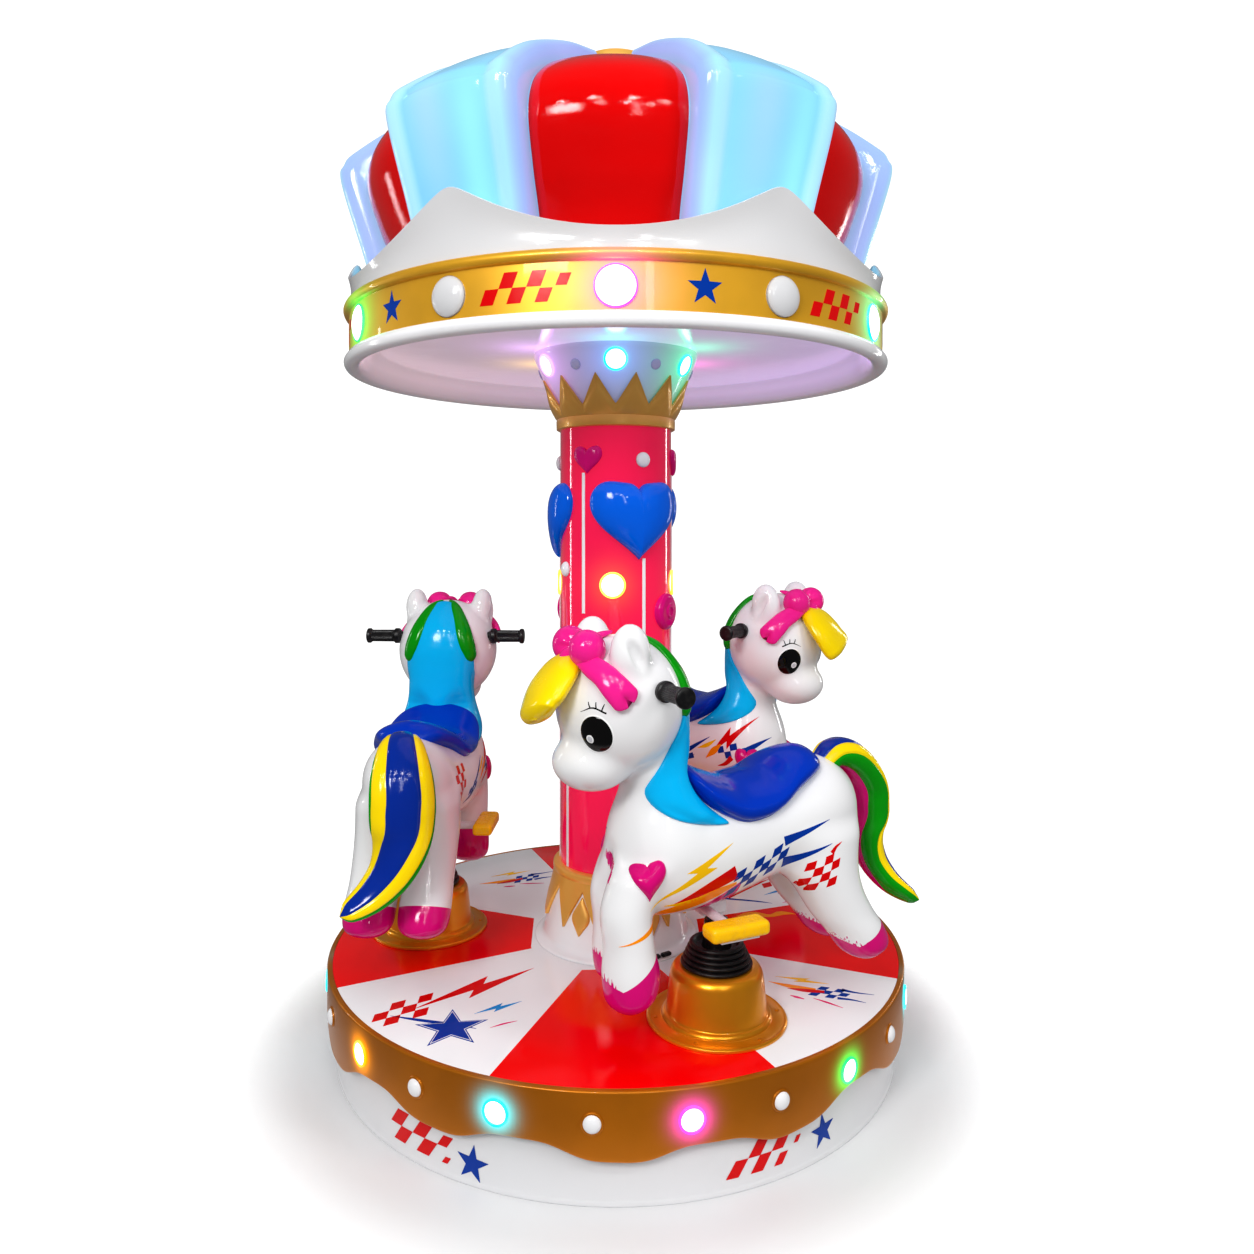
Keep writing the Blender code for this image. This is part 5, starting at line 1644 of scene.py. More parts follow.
# Swept forms: place along X, Y and Z, half thickness, half width.
FORELOCK = ((0.318, 0.000, 0.765, 0.018, 0.036), (0.344, 0.000, 0.745, 0.026, 0.060),
            (0.370, 0.003, 0.715, 0.028, 0.070), (0.388, 0.007, 0.690, 0.027, 0.070),
            (0.401, 0.014, 0.670, 0.025, 0.065), (0.410, 0.021, 0.655, 0.020, 0.056))
RIBBON = ((0.322, 0.050, 0.772, 0.010, 0.017), (0.311, 0.076, 0.758, 0.012, 0.022),
          (0.298, 0.100, 0.744, 0.013, 0.024), (0.284, 0.120, 0.723, 0.013, 0.027),
          (0.260, 0.138, 0.692, 0.010, 0.029))
GREEN_LOCK = ((0.200, 0.010, 0.810, 0.005, 0.008), (0.160, 0.034, 0.788, 0.010, 0.016),
              (0.128, 0.056, 0.745, 0.012, 0.022), (0.114, 0.071, 0.705, 0.012, 0.0225),
              (0.116, 0.080, 0.675, 0.012, 0.020), (0.121, 0.084, 0.650, 0.010, 0.015))
TAIL = ((-0.262, 0.000, 0.498, 0.025, 0.032), (-0.300, -0.008, 0.520, 0.031, 0.043),
        (-0.345, -0.018, 0.509, 0.037, 0.056), (-0.386, -0.030, 0.462, 0.037, 0.068),
        (-0.402, -0.036, 0.400, 0.036, 0.071), (-0.404, -0.032, 0.330, 0.035, 0.064),
        (-0.412, -0.012, 0.272, 0.032, 0.054), (-0.430, 0.022, 0.230, 0.026, 0.042),
        (-0.456, 0.060, 0.205, 0.017, 0.027), (-0.470, 0.078, 0.198, 0.007, 0.010))
TAIL_HUB = (-0.300, 0.0, 0.120)
TAIL_BANDS = (34.0, 80.0, 146.0)           # degrees from the ridge to the borders of the bands


def pony_field(points):
    """Distance to the white body of a pony, in its own coordinates."""
    side = np.abs(points[:, 1])
    half = np.stack((points[:, 0], side, points[:, 2]), 1)
    shape = ease_min(strung(points, TORSO, 0), strung(points, NECK, 1), 0.045)
    face = ease_min(ball(points, HEAD_AT, HEAD_R), ball(points, MUZZLE_AT, MUZZLE_R), 0.022)
    shape = ease_min(shape, face, 0.014)
    slant = np.array(((-0.478, 0.0, -0.878), (0.31, 0.935, -0.17), (0.822, -0.353, -0.447))).T
    ear = ease_max(ball(half, EAR_AT, EAR_R), -ball(half, HOLLOW_AT, HOLLOW_R, slant), 0.007)
    shape = ease_min(shape, ear, 0.018)
    right = 0.5 - 0.5 * np.tanh(points[:, 1] / 0.006)
    for table, back in ((FRONT_LEG, RIGHT_LEG_BACK), (REAR_LEG, 0.0)):
        leg = np.stack((points[:, 0] + back * right, side - LEG_V, points[:, 2]), 1)
        shape = ease_min(shape, strung(leg, table, 1, ends=0.030), 0.030)
    return shape


def mane_field(points):
    """A sheet that follows the neck and shoulders inside the mane's outline."""
    form = ease_min(strung(points, MANE, 1), pony_field(points) - 0.0065, 0.010)
    edge = outline_distance(points[:, (0, 2)], spline(MANE_OUTLINE + MANE_OUTLINE[:1], 60)[:-1])
    ridge = np.exp(-(points[:, 1] / 0.045) ** 2) * np.clip((points[:, 2] - 0.475) / 0.02, 0.0, 1.0)
    edge -= 0.035 * ridge * np.clip((0.125 - points[:, 0]) / 0.02, 0.0, 1.0)
    return ease_max(form, edge, 0.009)


def saddle_field(points):
    """A bean-shaped seat with a sewn line along its lower edge."""
    rows = spline(SADDLE_FORM, 160)[::-1]
    middle, high = (np.interp(points[:, 0], rows[:, 0], rows[:, k]) for k in (1, 3))
    line = np.exp(-((points[:, 2] - middle + high * 0.55) / 0.0022) ** 2)
    power = np.where(points[:, 2] > middle, 1.65, 2.5)
    return strung(points, SADDLE_FORM, 0, power=power, ends=0.006) + 0.0016 * line


def bow_field(points):
    """Two puffed loops that pucker towards their knot."""
    half = np.stack((points[:, 0], np.abs(points[:, 1]), points[:, 2]), 1)
    loops = ball(half, BOW_AT, BOW_R)
    turn = np.arctan2(half[:, 2] - BOW_AT[2], half[:, 0] - BOW_AT[0])
    pucker = 0.0016 * np.cos(7.0 * turn) * np.exp(-((half[:, 1] - 0.022) / 0.014) ** 2)
    tail = ball(points, (0.276, 0.0, 0.806), (0.040, 0.012, 0.007),
                np.array(((0.97, 0.0, -0.24), (0.0, 1.0, 0.0), (0.24, 0.0, 0.97))).T)
    return ease_min(ease_min(loops + pucker, ball(points, KNOT_AT, KNOT_R), 0.007), tail, 0.008)


def pony_place(number, lifted=True):
    """Where a pony's own coordinates lie: its pot's middle on the deck, turned to its heading."""
    _, angle, yaw, rise = PONIES[number - 1]
    height = DECK_TOP + (rise if lifted else 0.0)
    at = polar(bpy.context.scene.carousel_sizes.pony_radius, angle + 90.0, height)
    return Matrix.Translation(at) @ Matrix.Rotation(math.radians(angle + yaw), 4, "Z")


def mirrored(table):
    return tuple((row[0], -row[1], *row[2:]) for row in table)


def three_ponies(name, parts, slot, *nodes):
    """Copy what was drawn in pony coordinates to each pony, and remove the pattern."""
    obj = join(name, parts) if isinstance(parts, list) else parts
    for number, *_ in PONIES:
        twin = put(in_scene("pony_%d_%s" % (number, name), obj.data.copy()), pony_place(number))
        mount(twin, "pony_%d" % number, slot, *("pony_%d_%s" % (number, node) for node in nodes))
    bpy.data.objects.remove(obj, do_unlink=True)


def rounded_box(name, size_of, centre, radius, finish, segments=4):
    bm = bmesh.new()
    bmesh.ops.create_cube(bm, size=1.0)
    bmesh.ops.scale(bm, vec=size_of, verts=bm.verts)
    bmesh.ops.bevel(bm, geom=list(bm.edges), offset=radius, segments=segments, affect="EDGES", profile=0.6)
    bmesh.ops.translate(bm, vec=centre, verts=bm.verts)
    return piece(name, bm, finish)


class CAROUSEL_OT_pots(bpy.types.Operator):
    """Three gold pots that the ponies stand on, each with a beaded foot and screwed flange"""
    bl_idname = "carousel.pots"
    bl_label = "Pots"

    def execute(self, context):
        shoulder = curve(((0.079, 0.112), (0.089, 0.1085), (0.0955, 0.099), (0.0985, 0.084)), 18)
        foot = curve(((0.1045, 0.024), (0.1062, 0.0185), (0.1105, 0.0165), (0.1140, 0.0125),
                      (0.1150, 0.0082)), 16)
        profile = [(0.0, 0.106), (0.066, 0.106), (0.070, 0.1115), *shoulder, *foot]
        profile += rounded(((0.117, 0.0070), (0.139, 0.0070), (0.1425, 0.0082), (0.146, 0.0055),
                            (0.146, TOUCH), (0.0, TOUCH)), 0.0012)
        for number, *_ in PONIES:
            place = pony_place(number, lifted=False)
            pot = put(turned("gold_pot_%d" % number, profile, "pot", steps=128), place)
            mount(pot, "turntable", "gold_shell", "pony_%d_pot" % number)
            head = button("screw", button_profile(0.0042, 0.0016, 0.0008), "pot", 20)
            put(head, tipped(90.0))
            screws = ring("pot_screws_%d" % number, head, 6, 0.129, 0.0070, 12.0)
            mount(put(screws, place), "turntable", "gold_shell")
        return {"FINISHED"}


class CAROUSEL_OT_bellows(bpy.types.Operator):
    """Black rubber bellows between each pot and its pony"""
    bl_idname = "carousel.bellows"
    bl_label = "Bellows"

    rib_count: bpy.props.IntProperty(name="Ribs", description="Rounded ribs of a bellows", default=5,
                                     min=2, max=12)

    def execute(self, context):
        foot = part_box("pony_1_bellows")[0].z - DECK_TOP
        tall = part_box("pony_1_bellows")[1].z - DECK_TOP - foot
        pitch = tall / self.rib_count
        profile = [(0.0, foot)]
        for k in range(self.rib_count):
            outer = 0.0750 - 0.0045 * k
            for angle in np.linspace(-math.pi / 2, math.pi / 2, 9):
                profile.append((outer - 0.0065 + 0.0065 * math.cos(angle),
                                foot + pitch * (k + 0.5) + pitch * 0.46 * math.sin(angle)))
        top = foot + tall
        profile += rounded(((0.049, top), (0.046, top - 0.002), (0.042, top - 0.010), (0.0, top - 0.010)),
                           0.002)
        for number, _, _, rise in PONIES:
            bellows = turned("bellows_%d" % number, profile, "rubber", steps=96, sharp=None)
            stretch = (tall + rise) / tall
            longer = Matrix.Translation((0.0, 0.0, foot)) @ Matrix.Diagonal((1.0, 1.0, stretch, 1.0))
            place = pony_place(number, lifted=False)
            put(bellows, place @ longer @ Matrix.Translation((0.0, 0.0, -foot)))
            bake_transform(bellows)
            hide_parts("pony_%d_bellows" % number)
        return {"FINISHED"}


class CAROUSEL_OT_footrests(bpy.types.Operator):
    """Shaft, boot, crossbar and the two pedals below each pony"""
    bl_idname = "carousel.footrests"
    bl_label = "Footrests"

    def execute(self, context):
        bar_u, bar_z, pedal_v = 0.036, 0.237, 0.139
        shaft = turned("shaft", rounded(((0.0, 0.300), (0.0145, 0.300), (0.0145, 0.196), (0.0, 0.196)),
                                        0.001), "steel", steps=48)
        block = rounded_box("block", (0.058, 0.040, 0.026), (0.016, 0.0, bar_z), 0.004, "steel")
        bar = turned("bar", ((0.0, 0.125), (0.0095, 0.125), (0.0095, -0.125), (0.0, -0.125)),
                     "steel", steps=32)
        put(bar, Matrix.Translation((bar_u, 0.0, bar_z)) @ tipped(-90.0))
        parts = [shaft, block, bar]
        nut = turned("nut", rounded(((0.0, 0.0055), (0.0070, 0.0055), (0.0080, 0.004), (0.0080, 0.0),
                                     (0.0, 0.0)), 0.0008), "steel", steps=6)
        for u in (-0.006, 0.038):
            parts.append(put(in_scene("nut", nut.data.copy()), Matrix.Translation((u, 0.0, bar_z + 0.013))))
        bpy.data.objects.remove(nut, do_unlink=True)
        for side in (-1.0, 1.0):
            parts.append(rounded_box("plate", (0.086, 0.034, 0.004), (bar_u, pedal_v * side, 0.2262),
                                     0.0015, "steel"))
        three_ponies("step_frame", parts, "white_shell", "footrest")
        profile = curve(((0.0315, 0.150), (0.0290, 0.158), (0.0265, 0.176), (0.0258, 0.202)), 18)[::-1]
        boot = turned("boot", [(0.0, 0.2075), (0.021, 0.2075), (0.0245, 0.206), *profile, (0.0, 0.150)],
                      "boot", steps=64)
        three_ponies("boot", boot, "black_rubber")
        pedals = []
        for side in (-1.0, 1.0):
            pedals.append(rounded_box("pedal", (0.130, 0.050, 0.029), (bar_u, pedal_v * side, 0.2425),
                                      0.0125, "pedal", 6))
            stud = button("stud", button_profile(0.0017, 0.0007), "pedal", 8)
            put(stud, tipped(90.0))
            studs = from_nodes("studs", bpy.data.node_groups["Grid of parts"], Part=stud, Columns=15,
                               Rows=5, Length=0.102, Width=0.026, Finish=stud.data.materials[0])
            bpy.data.objects.remove(stud, do_unlink=True)
            pedals.append(put(studs, Matrix.Translation((bar_u, pedal_v * side, 0.2569))))
        three_ponies("pedals", pedals, "pedal_yellow")
        return {"FINISHED"}


class CAROUSEL_OT_handlebars(bpy.types.Operator):
    """Black handlebars with ribbed grips on both sides of each head"""
    bl_idname = "carousel.handlebars"
    bl_label = "Handlebars"

    grip_ribs: bpy.props.IntProperty(name="Grip ribs", description="Lengthwise ribs round a grip",
                                     default=26, min=6, max=60)

    def execute(self, context):
        outer = 0.2185
        at = Matrix.Translation((0.187, 0.0, 0.712))
        section = rounded(((0.009, 0.118), (0.0205, 0.128), (0.0208, 0.139), (0.0170, 0.1415),
                           (0.0158, 0.145), (0.0154, 0.203), (0.0168, 0.2055), (0.0202, 0.207),
                           (0.0202, outer - 0.003), (0.0150, outer - 0.0006), (0.0, outer)), 0.0022)
        steps = self.grip_ribs * 4
        parts = []
        for side in (-1.0, 1.0):
            rows = []
            for k in range(steps):
                angle = 2.0 * math.pi * k / steps
                ridge = 0.0006 * math.cos(self.grip_ribs * angle)
                row = []
                for r, v in section:
                    reach = r + (ridge if 0.144 < v < 0.204 else 0.0)
                    row.append((reach * math.cos(angle), v * side, reach * math.sin(angle)))
                rows.append([(0.0, 0.118 * side, 0.0)] + row)
            parts.append(skin("grip", rows, "rubber", around=False, along=True, sharp=50.0))
        rod = turned("rod", ((0.0, 0.122), (0.0118, 0.122), (0.0118, -0.122), (0.0, -0.122)),
                     "rubber", steps=32)
        parts.append(put(rod, tipped(-90.0)))
        three_ponies("grips", put(join("grips", parts), at), "bar_black", "handlebar")
        return {"FINISHED"}


class CAROUSEL_OT_ponies(bpy.types.Operator):
    """White pony bodies with their painted hooves, eyes, hearts and stickers"""
    bl_idname = "carousel.ponies"
    bl_label = "Pony bodies"

    cell: bpy.props.FloatProperty(name="Mesh cell", description="Size of a pony's mesh faces",
                                  default=0.005, min=0.002, max=0.02, unit="LENGTH", precision=4)

    def execute(self, context):
        cell = self.cell * 1.0
        body = netted("pony_pattern", pony_field, (-0.405, -0.168, 0.070), (0.390, 0.168, 0.860), cell,
                      "pony")
        points = vertices(body)
        layer = body.data.attributes.new("place", "FLOAT_VECTOR", "POINT")
        layer.data.foreach_set("vector", points.astype(np.float32).ravel())
        tree = BVHTree.FromPolygons(points.tolist(), [tuple(face.vertices) for face in body.data.polygons])
        self.eyes(tree)
        self.hearts(tree)
        self.stickers(tree)
        three_ponies("shell", body, "pony_white", "body")
        return {"FINISHED"}

    @staticmethod
    def eyes(tree):
        """A glossy black oval in a white rim, with its light spot and lashes, on each side."""
        rims, blacks, lights, lashes = [], [], [], []
        lean_x, lean_y = math.cos(EYE_LEAN), math.sin(EYE_LEAN)
        for side in (-1.0, 1.0):
            at = Vector((EYE_AT[0], EYE_AT[1] * side, EYE_AT[2]))
            hit, normal, _, _ = tree.find_nearest(at)
            across = (Vector((1.0, 0.0, 0.0)) - normal * normal.x).normalized()
            up = (Vector((0.0, 0.0, 1.0)) - normal * normal.z)
            up = (up - across * up.dot(across)).normalized()
            laid = on_shape(tree, hit, normal, across, up, 0.05)

            def oval(wide, tall, x=0.0, y=0.0):
                rows = [(wide * math.cos(angle), tall * math.sin(angle))
                        for angle in (k / 28.0 * math.pi for k in range(56))]
                return [(x + a * lean_x - b * lean_y, y + a * lean_y + b * lean_x) for a, b in rows]

            def on_dome(x, y, lift):
                along, over = x * lean_x + y * lean_y, y * lean_x - x * lean_y
                away = min(math.hypot(along / EYE_R[0], over / EYE_R[1]), 0.99)
                return laid(x, y, lift + 0.0012 + 0.0040 * (1.0 - away ** 2.4) ** 0.5)

            def on_spot(x, y, lift):
                return on_dome(x, y, lift + 0.0004)

            outlines = oval(EYE_R[0] * 1.06, EYE_R[1] * 1.06), oval(*EYE_R)
            rims.append(cushion("rim", outlines[0], (0.0, 0.0), 0.0014, laid, "eye_rim", 8.0))
            blacks.append(cushion("black", outlines[1], (0.0, 0.0), 0.0052, laid, "eye"))
            for wide, tall, place, finish in ((0.0078, 0.0086, on_dome, "eye_rim"),
                                              (0.0052, 0.0058, on_spot, "eye_spot")):
                spot = oval(wide, tall, 0.0085, -0.0105)
                lights.append(decal("spot", [spot], place, finish, 0.004))
            strokes = (stroke((0.0418, 0.0292, 0.0006), (0.0189, 0.0470, 0.0024),
                              (-0.0097, 0.0469, 0.0030)),
                       stroke((0.0316, 0.0529, 0.0014), (0.0290, 0.0490, 0.0022), (0.0245, 0.0445, 0.0026)),
                       stroke((0.0165, 0.0585, 0.0014), (0.0150, 0.0540, 0.0022), (0.0126, 0.0485, 0.0026)),
                       stroke((-0.0010, 0.0612, 0.0014), (0.0, 0.0560, 0.0022), (0.0005, 0.0490, 0.0026)))
            lashes.append(decal("lashes", strokes, laid, "eye", 0.004))
        three_ponies("eye_rims", rims, "pony_white")
        three_ponies("eyes", blacks, "bar_black")
        three_ponies("eye_lights", lights, "pony_white")
        three_ponies("lashes", lashes, "bar_black")

    @staticmethod
    def hearts(tree):
        """A magenta heart in relief on each shoulder."""
        parts = []
        for side in (-1.0, 1.0):
            near = (0.210 - (RIGHT_LEG_BACK * 0.5 if side < 0.0 else 0.0), 0.115 * side, 0.352)
            origin, normal, _, _ = tree.find_nearest(Vector(near))
            across = Vector((0.0, 0.0, 1.0)).cross(normal).normalized() * -side
            laid = on_shape(tree, origin, normal, across, normal.cross(across) * -side, 0.08)
            parts.append(cushion("heart", heart_outline(0.066, 0.072, 3.0), (0.0, 0.003), 0.012, laid,
                                 "magenta", 3.0))
        three_ponies("hearts", parts, "tail_bands")

    @staticmethod
    def stickers(tree):
        """Bolts, flames and chequers along the flanks."""
        flanks = {name: on_shape(tree, (0.0, 0.0, 0.0), (0.0, side, 0.0), (1.0, 0.0, 0.0), (0.0, 0.0, 1.0))
                  for name, side in (("left", 1.0), ("right", -1.0))}
        parts = []

        def stick(side, finish, *outlines, over=0.0):
            """Lay outlines on a flank, or over the stickers that are there."""
            def laid(x, y, lift):
                return flanks[side](x, y, lift + over)
            parts.append(decal("sticker", outlines, laid, "decal_" + finish, 0.010))

        def checks(start, cell, columns, rows, rise, first=0):
            """Cells from a front lower corner, running back and rising."""
            made = []
            for c in range(columns):
                for r in range(rows):
                    if (c + r + first) % 2:
                        continue
                    u = start[0] - c * cell[0]
                    z = start[1] + r * cell[1] + rise * c * cell[0]
                    lean = cell[1] * 0.25
                    made.append([(u - lean * r, z), (u - lean * (r + 1), z + cell[1]),
                                 (u - lean * (r + 1) - cell[0], z + cell[1] + rise * cell[0]),
                                 (u - lean * r - cell[0], z + rise * cell[0])])
            return made

        stick("left", "yellow", bolt((0.205, 0.290), (0.029, 0.402), 0.034, 0.60))
        stick("left", "red", stroke((0.150, 0.288, 0.001), (0.090, 0.312, 0.022), (0.020, 0.342, 0.030)))
        stick("left", "orange", stroke((0.268, 0.232, 0.0005), (0.200, 0.254, 0.011), (0.120, 0.279, 0.024),
                                       (0.060, 0.300, 0.022), (0.014, 0.316, 0.006)), over=OVERPRINT)
        stick("left", "yellow", stroke((0.165, 0.287, 0.001), (0.120, 0.290, 0.010), (0.075, 0.302, 0.004)),
              over=OVERPRINT)
        stick("left", "blue", *checks((0.032, 0.281), (0.0212, 0.0195), 6, 3, 0.43))
        stick("left", "blue", stroke((-0.092, 0.388, 0.020), (-0.135, 0.398, 0.012),
                                     (-0.208, 0.416, 0.0005)),
              stroke((-0.096, 0.340, 0.026), (-0.135, 0.348, 0.014), (-0.206, 0.370, 0.0005)))
        stick("left", "red", *checks((-0.135, 0.262), (0.0195, 0.0175), 4, 4, 0.30, 1),
              stroke((-0.150, 0.288, 0.012), (-0.140, 0.268, 0.007), (-0.120, 0.250, 0.0005)),
              stroke((-0.205, 0.350, 0.010), (-0.216, 0.362, 0.006), (-0.232, 0.370, 0.0005)))
        stick("right", "red", bolt((0.205, 0.470), (0.085, 0.362), 0.040, 0.55))
        stick("right", "orange", stroke((0.118, 0.392, 0.003), (0.095, 0.372, 0.018),
                                        (0.068, 0.348, 0.001)), over=OVERPRINT)
        stick("right", "yellow", stroke((0.100, 0.402, 0.002), (0.072, 0.384, 0.011),
                                        (0.040, 0.372, 0.0005)))
        stick("right", "blue", *checks((0.190, 0.372), (0.019, 0.017), 4, 2, -0.30),
              stroke((0.232, 0.412, 0.0005), (0.210, 0.396, 0.011), (0.185, 0.378, 0.018)))
        stick("right", "red", stroke((0.152, 0.360, 0.014), (0.130, 0.340, 0.010), (0.104, 0.330, 0.001)),
              over=OVERPRINT)
        stick("right", "red", *checks((-0.095, 0.352), (0.021, 0.021), 4, 4, 0.10, 1))
        stick("right", "blue", stroke((0.080, 0.408, 0.0005), (0.030, 0.376, 0.010),
                                      (-0.020, 0.342, 0.014)),
              stroke((0.030, 0.352, 0.0005), (-0.010, 0.330, 0.012), (-0.050, 0.318, 0.002)),
              *checks((0.028, 0.342), (0.016, 0.015), 4, 2, -0.35))
        three_ponies("stickers", parts, "red_shell")


class CAROUSEL_OT_saddles(bpy.types.Operator):
    """Blue moulded saddles"""
    bl_idname = "carousel.saddles"
    bl_label = "Saddles"

    def execute(self, context):
        cell = 0.003
        saddle = netted("saddle_pattern", saddle_field, (-0.256, -0.142, 0.395), (0.122, 0.142, 0.572),
                        cell, "saddle")
        three_ponies("seat", saddle, "saddle_blue", "saddle")
        return {"FINISHED"}


class CAROUSEL_OT_manes(bpy.types.Operator):
    """Light-blue manes with a green lock down each side of the crown"""
    bl_idname = "carousel.manes"
    bl_label = "Manes"

    def execute(self, context):
        cell = 0.004
        mane = netted("mane_pattern", mane_field, (0.010, -0.150, 0.415), (0.235, 0.150, 0.850), cell,
                      "mane")
        three_ponies("mane_shell", mane, "hair_blue", "mane")
        locks = [swept("lock", table, HEAD_AT, "green", tips=(0.10, 0.14))
                 for table in (GREEN_LOCK, mirrored(GREEN_LOCK))]
        three_ponies("green_locks", locks, "tail_bands")
        return {"FINISHED"}


class CAROUSEL_OT_bows(bpy.types.Operator):
    """Pink bows with notched ribbons, and the yellow forelocks below them"""
    bl_idname = "carousel.bows"
    bl_label = "Bows and forelocks"

    def execute(self, context):
        cell = 0.0025
        bow = netted("bow_pattern", bow_field, (0.225, -0.092, 0.728), (0.362, 0.092, 0.838), cell,
                     "bow")
        ribbons = [swept("ribbon", table, HEAD_AT, "bow", count=72, sides=48,
                         power=2.3, tips=(0.0, 0.10), notch=0.10)
                   for table in (RIBBON, mirrored(RIBBON))]
        three_ponies("bow_shell", [bow, *ribbons], "tail_bands", "bow")
        lock = swept("forelock", FORELOCK, HEAD_AT, "yellow", count=72, sides=72,
                     tips=(0.0, 0.20), ribs=lambda angle: 1.0 - 0.018 * np.cos(5.0 * angle))
        three_ponies("forelock", lock, "forelock_yellow")
        return {"FINISHED"}


class CAROUSEL_OT_tails(bpy.types.Operator):
    """Tails of four coloured strands"""
    bl_idname = "carousel.tails"
    bl_label = "Tails"

    def execute(self, context):
        sides, count = 96, 84

        def ribs(angle):
            away = np.abs((np.degrees(angle) + 180.0) % 360.0 - 180.0)
            depth = sum(np.exp(-((away - border) / 5.0) ** 2) for border in TAIL_BANDS)
            return 1.0 - 0.075 * depth

        tail = swept("tail_pattern", TAIL, TAIL_HUB, "tail", count=count, sides=sides,
                     tips=(0.0, 0.10), ribs=ribs)
        away = np.abs((np.arange(sides) * 360.0 / sides + 180.0) % 360.0 - 180.0) / 180.0
        along = 0.5 - 0.5 * np.cos(np.linspace(0.0, math.pi, count))
        ended = np.clip((along - 0.70) / 0.12, 0.0, 1.0)[:, None]
        band = away[None, :] - ended * np.maximum(away[None, :] - 0.78, 0.0)
        paint_points(tail, "band", np.repeat(band.reshape(-1, 1), 3, axis=1))
        three_ponies("tail_shell", tail, "tail_bands", "tail")
        return {"FINISHED"}


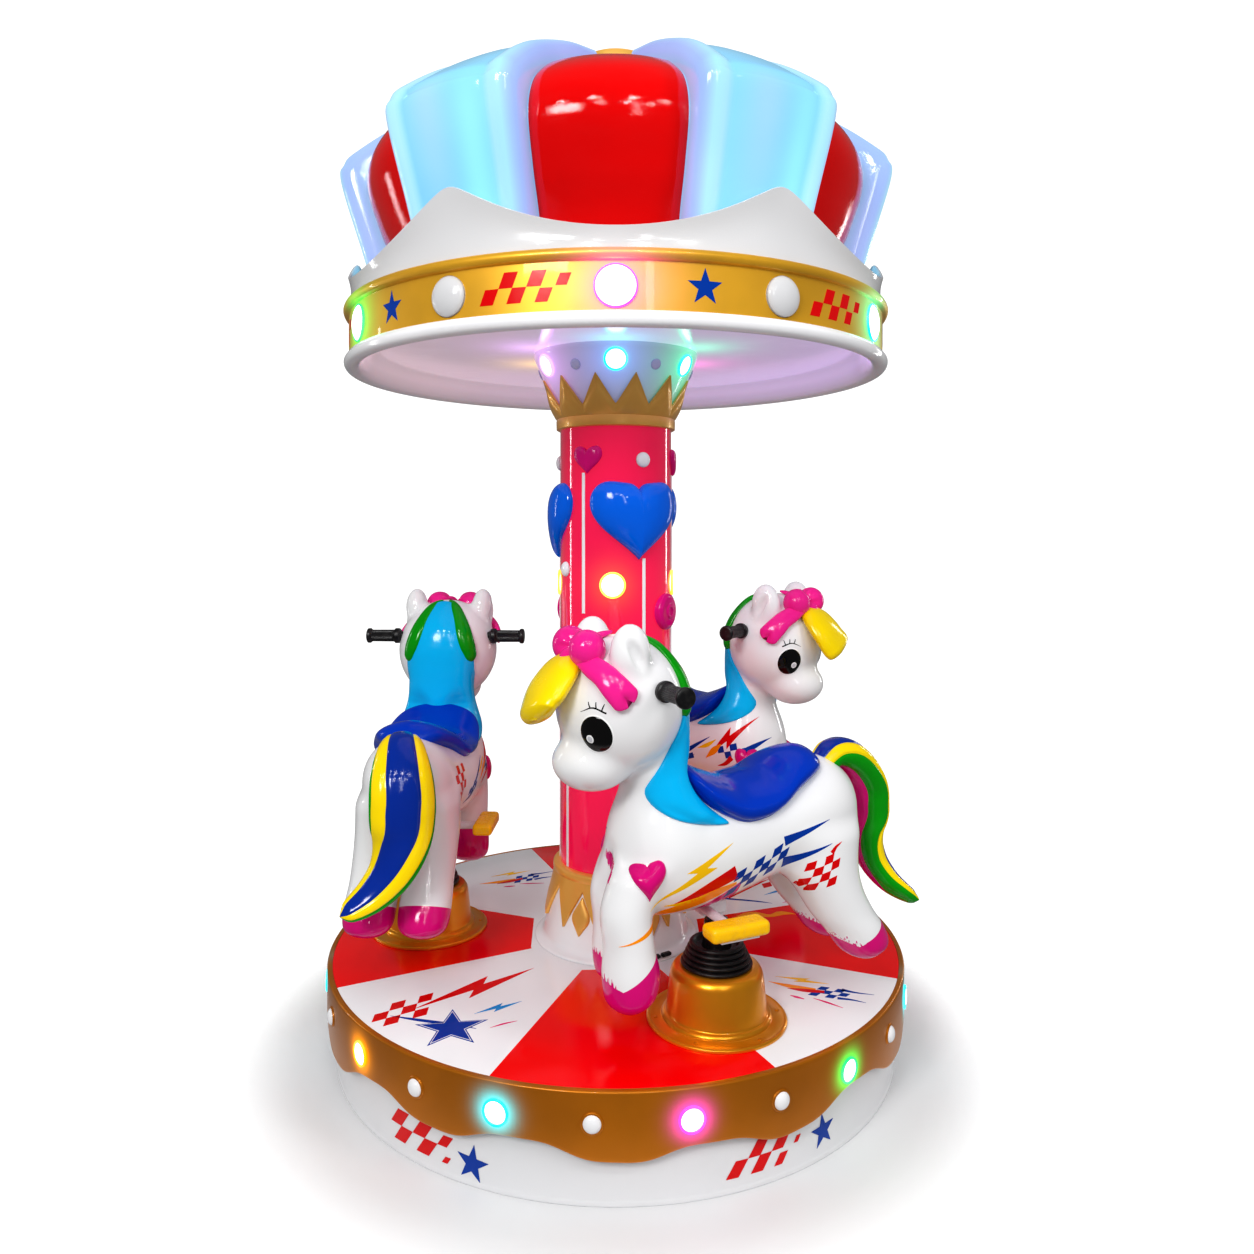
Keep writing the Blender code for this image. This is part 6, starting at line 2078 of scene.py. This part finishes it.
class CAROUSEL_OT_deck_stickers(bpy.types.Operator):
    """Bolts, stars and chequers on the white sectors of the deck"""
    bl_idname = "carousel.deck_stickers"
    bl_label = "Deck stickers"

    def execute(self, context):
        parts = []

        def stick(finish, x, y, turn, *outlines, over=0.0):
            """Lay outlines round a place on the deck, turned in degrees."""
            angle = math.radians(turn)

            def laid(a, b, lift):
                return on_deck(x + a * math.cos(angle) - b * math.sin(angle),
                               y + a * math.sin(angle) + b * math.cos(angle), lift + over)
            parts.append(decal("sticker", outlines, laid, finish))

        stick("decal_orange", 0.391, 0.103, 4.0,
              stroke((-0.075, -0.004, 0.001), (-0.030, 0.008, 0.032), (0.015, -0.006, 0.016),
                     (0.050, 0.010, 0.024), (0.085, 0.0, 0.001)))
        for x, y, turn in ((-0.345, -0.345, 31.0), (0.365, 0.315, 211.0)):
            stick("decal_red", x, y, turn, bolt((-0.100, -0.002), (0.205, 0.040), 0.064, 0.52))
            stick("decal_red", x, y, turn,
                  *check_outlines((0.031, 0.028), 3, 4, 0.55, (-0.122, 0.004), first=1))
            stick("decal_blue", x - 0.030, y - 0.105, -12.0,
                  stroke((-0.10, 0.004, 0.0005), (-0.03, 0.0, 0.010), (0.05, -0.002, 0.008),
                         (0.095, -0.008, 0.0005)))
            stick("decal_sky", x + 0.095, y - 0.045, 30.0, bolt((-0.055, 0.0), (0.055, 0.0), 0.026))
            stick("decal_magenta", x + 0.115, y - 0.115, 28.0,
                  stroke((-0.030, 0.0, 0.0005), (0.0, 0.002, 0.005), (0.030, 0.0, 0.0005)))
        for radius, over, finish in ((0.078, 0.0, "decal_blue"), (0.070, OVERPRINT, "white"),
                                     (0.065, 2.0 * OVERPRINT, "decal_blue")):
            stick(finish, -0.335, -0.475, 0.0, star_outline(radius, 8.0), over=over)
        for x, y, turn in ((0.440, -0.315, -18.0), (-0.290, 0.360, 25.0)):
            stick("decal_yellow", x - 0.020, y + 0.050, turn, bolt((-0.060, 0.0), (0.060, 0.0), 0.024))
            stick("decal_orange", x, y, turn,
                  stroke((-0.105, 0.012, 0.0005), (-0.055, 0.004, 0.016), (0.0, 0.0, 0.020)))
            stick("decal_red", x, y, turn,
                  stroke((-0.060, -0.008, 0.0005), (-0.020, -0.006, 0.014), (0.020, 0.0, 0.010)),
                  over=OVERPRINT)
            stick("decal_blue", x, y, turn, *check_outlines((0.018, 0.016), 3, 4, 0.5, (0.035, 0.0)))
            stick("decal_blue", x, y, turn,
                  stroke((0.055, 0.022, 0.012), (0.085, 0.018, 0.006), (0.125, 0.020, 0.0005)),
                  stroke((0.050, -0.020, 0.010), (0.080, -0.018, 0.006), (0.110, -0.022, 0.0005)))
            stick("decal_magenta", x, y, turn,
                  stroke((-0.050, -0.038, 0.001), (-0.035, -0.042, 0.008), (-0.018, -0.046, 0.002)),
                  stroke((0.000, -0.036, 0.001), (0.030, -0.046, 0.006), (0.065, -0.060, 0.001)))
        mount(join("deck_stickers", parts), "turntable", "red_shell")
        return {"FINISHED"}


class CAROUSEL_PT_panel(bpy.types.Panel):
    """Sizes, colours and one button for each group of pieces"""
    bl_idname = "CAROUSEL_PT_panel"
    bl_label = "Carousel"
    bl_space_type = "VIEW_3D"
    bl_region_type = "UI"
    bl_category = "Carousel"

    def draw(self, context):
        layout = self.layout
        for group in (context.scene.carousel_sizes, context.scene.carousel_colours):
            box = layout.box()
            for name in group.__annotations__:
                box.prop(group, name)
        for operator in OPERATORS:
            layout.operator(operator.bl_idname)


OPERATORS = (CAROUSEL_OT_stage, CAROUSEL_OT_drum, CAROUSEL_OT_deck, CAROUSEL_OT_apron,
             CAROUSEL_OT_foot, CAROUSEL_OT_column, CAROUSEL_OT_capital, CAROUSEL_OT_ceiling,
             CAROUSEL_OT_band, CAROUSEL_OT_crown, CAROUSEL_OT_lantern, CAROUSEL_OT_roof,
             CAROUSEL_OT_pots, CAROUSEL_OT_bellows, CAROUSEL_OT_footrests, CAROUSEL_OT_handlebars,
             CAROUSEL_OT_ponies, CAROUSEL_OT_saddles, CAROUSEL_OT_manes, CAROUSEL_OT_bows,
             CAROUSEL_OT_tails, CAROUSEL_OT_deck_stickers)
CLASSES = (CarouselSizes, CarouselColours) + OPERATORS + (CAROUSEL_PT_panel,)


def register():
    for found in CLASSES:
        bpy.utils.register_class(found)
    bpy.types.Scene.carousel_sizes = bpy.props.PointerProperty(type=CarouselSizes)
    bpy.types.Scene.carousel_colours = bpy.props.PointerProperty(type=CarouselColours)


def unregister():
    del bpy.types.Scene.carousel_colours
    del bpy.types.Scene.carousel_sizes
    for found in reversed(CLASSES):
        bpy.utils.unregister_class(found)


def main():
    register()
    FINISH.update(make_finishes())
    ring_tree()
    grid_tree()
    for operator in OPERATORS:
        group, name = operator.bl_idname.split(".")
        getattr(getattr(bpy.ops, group), name)()
    bpy.context.view_layer.update()


if __name__ == "__main__":
    main()
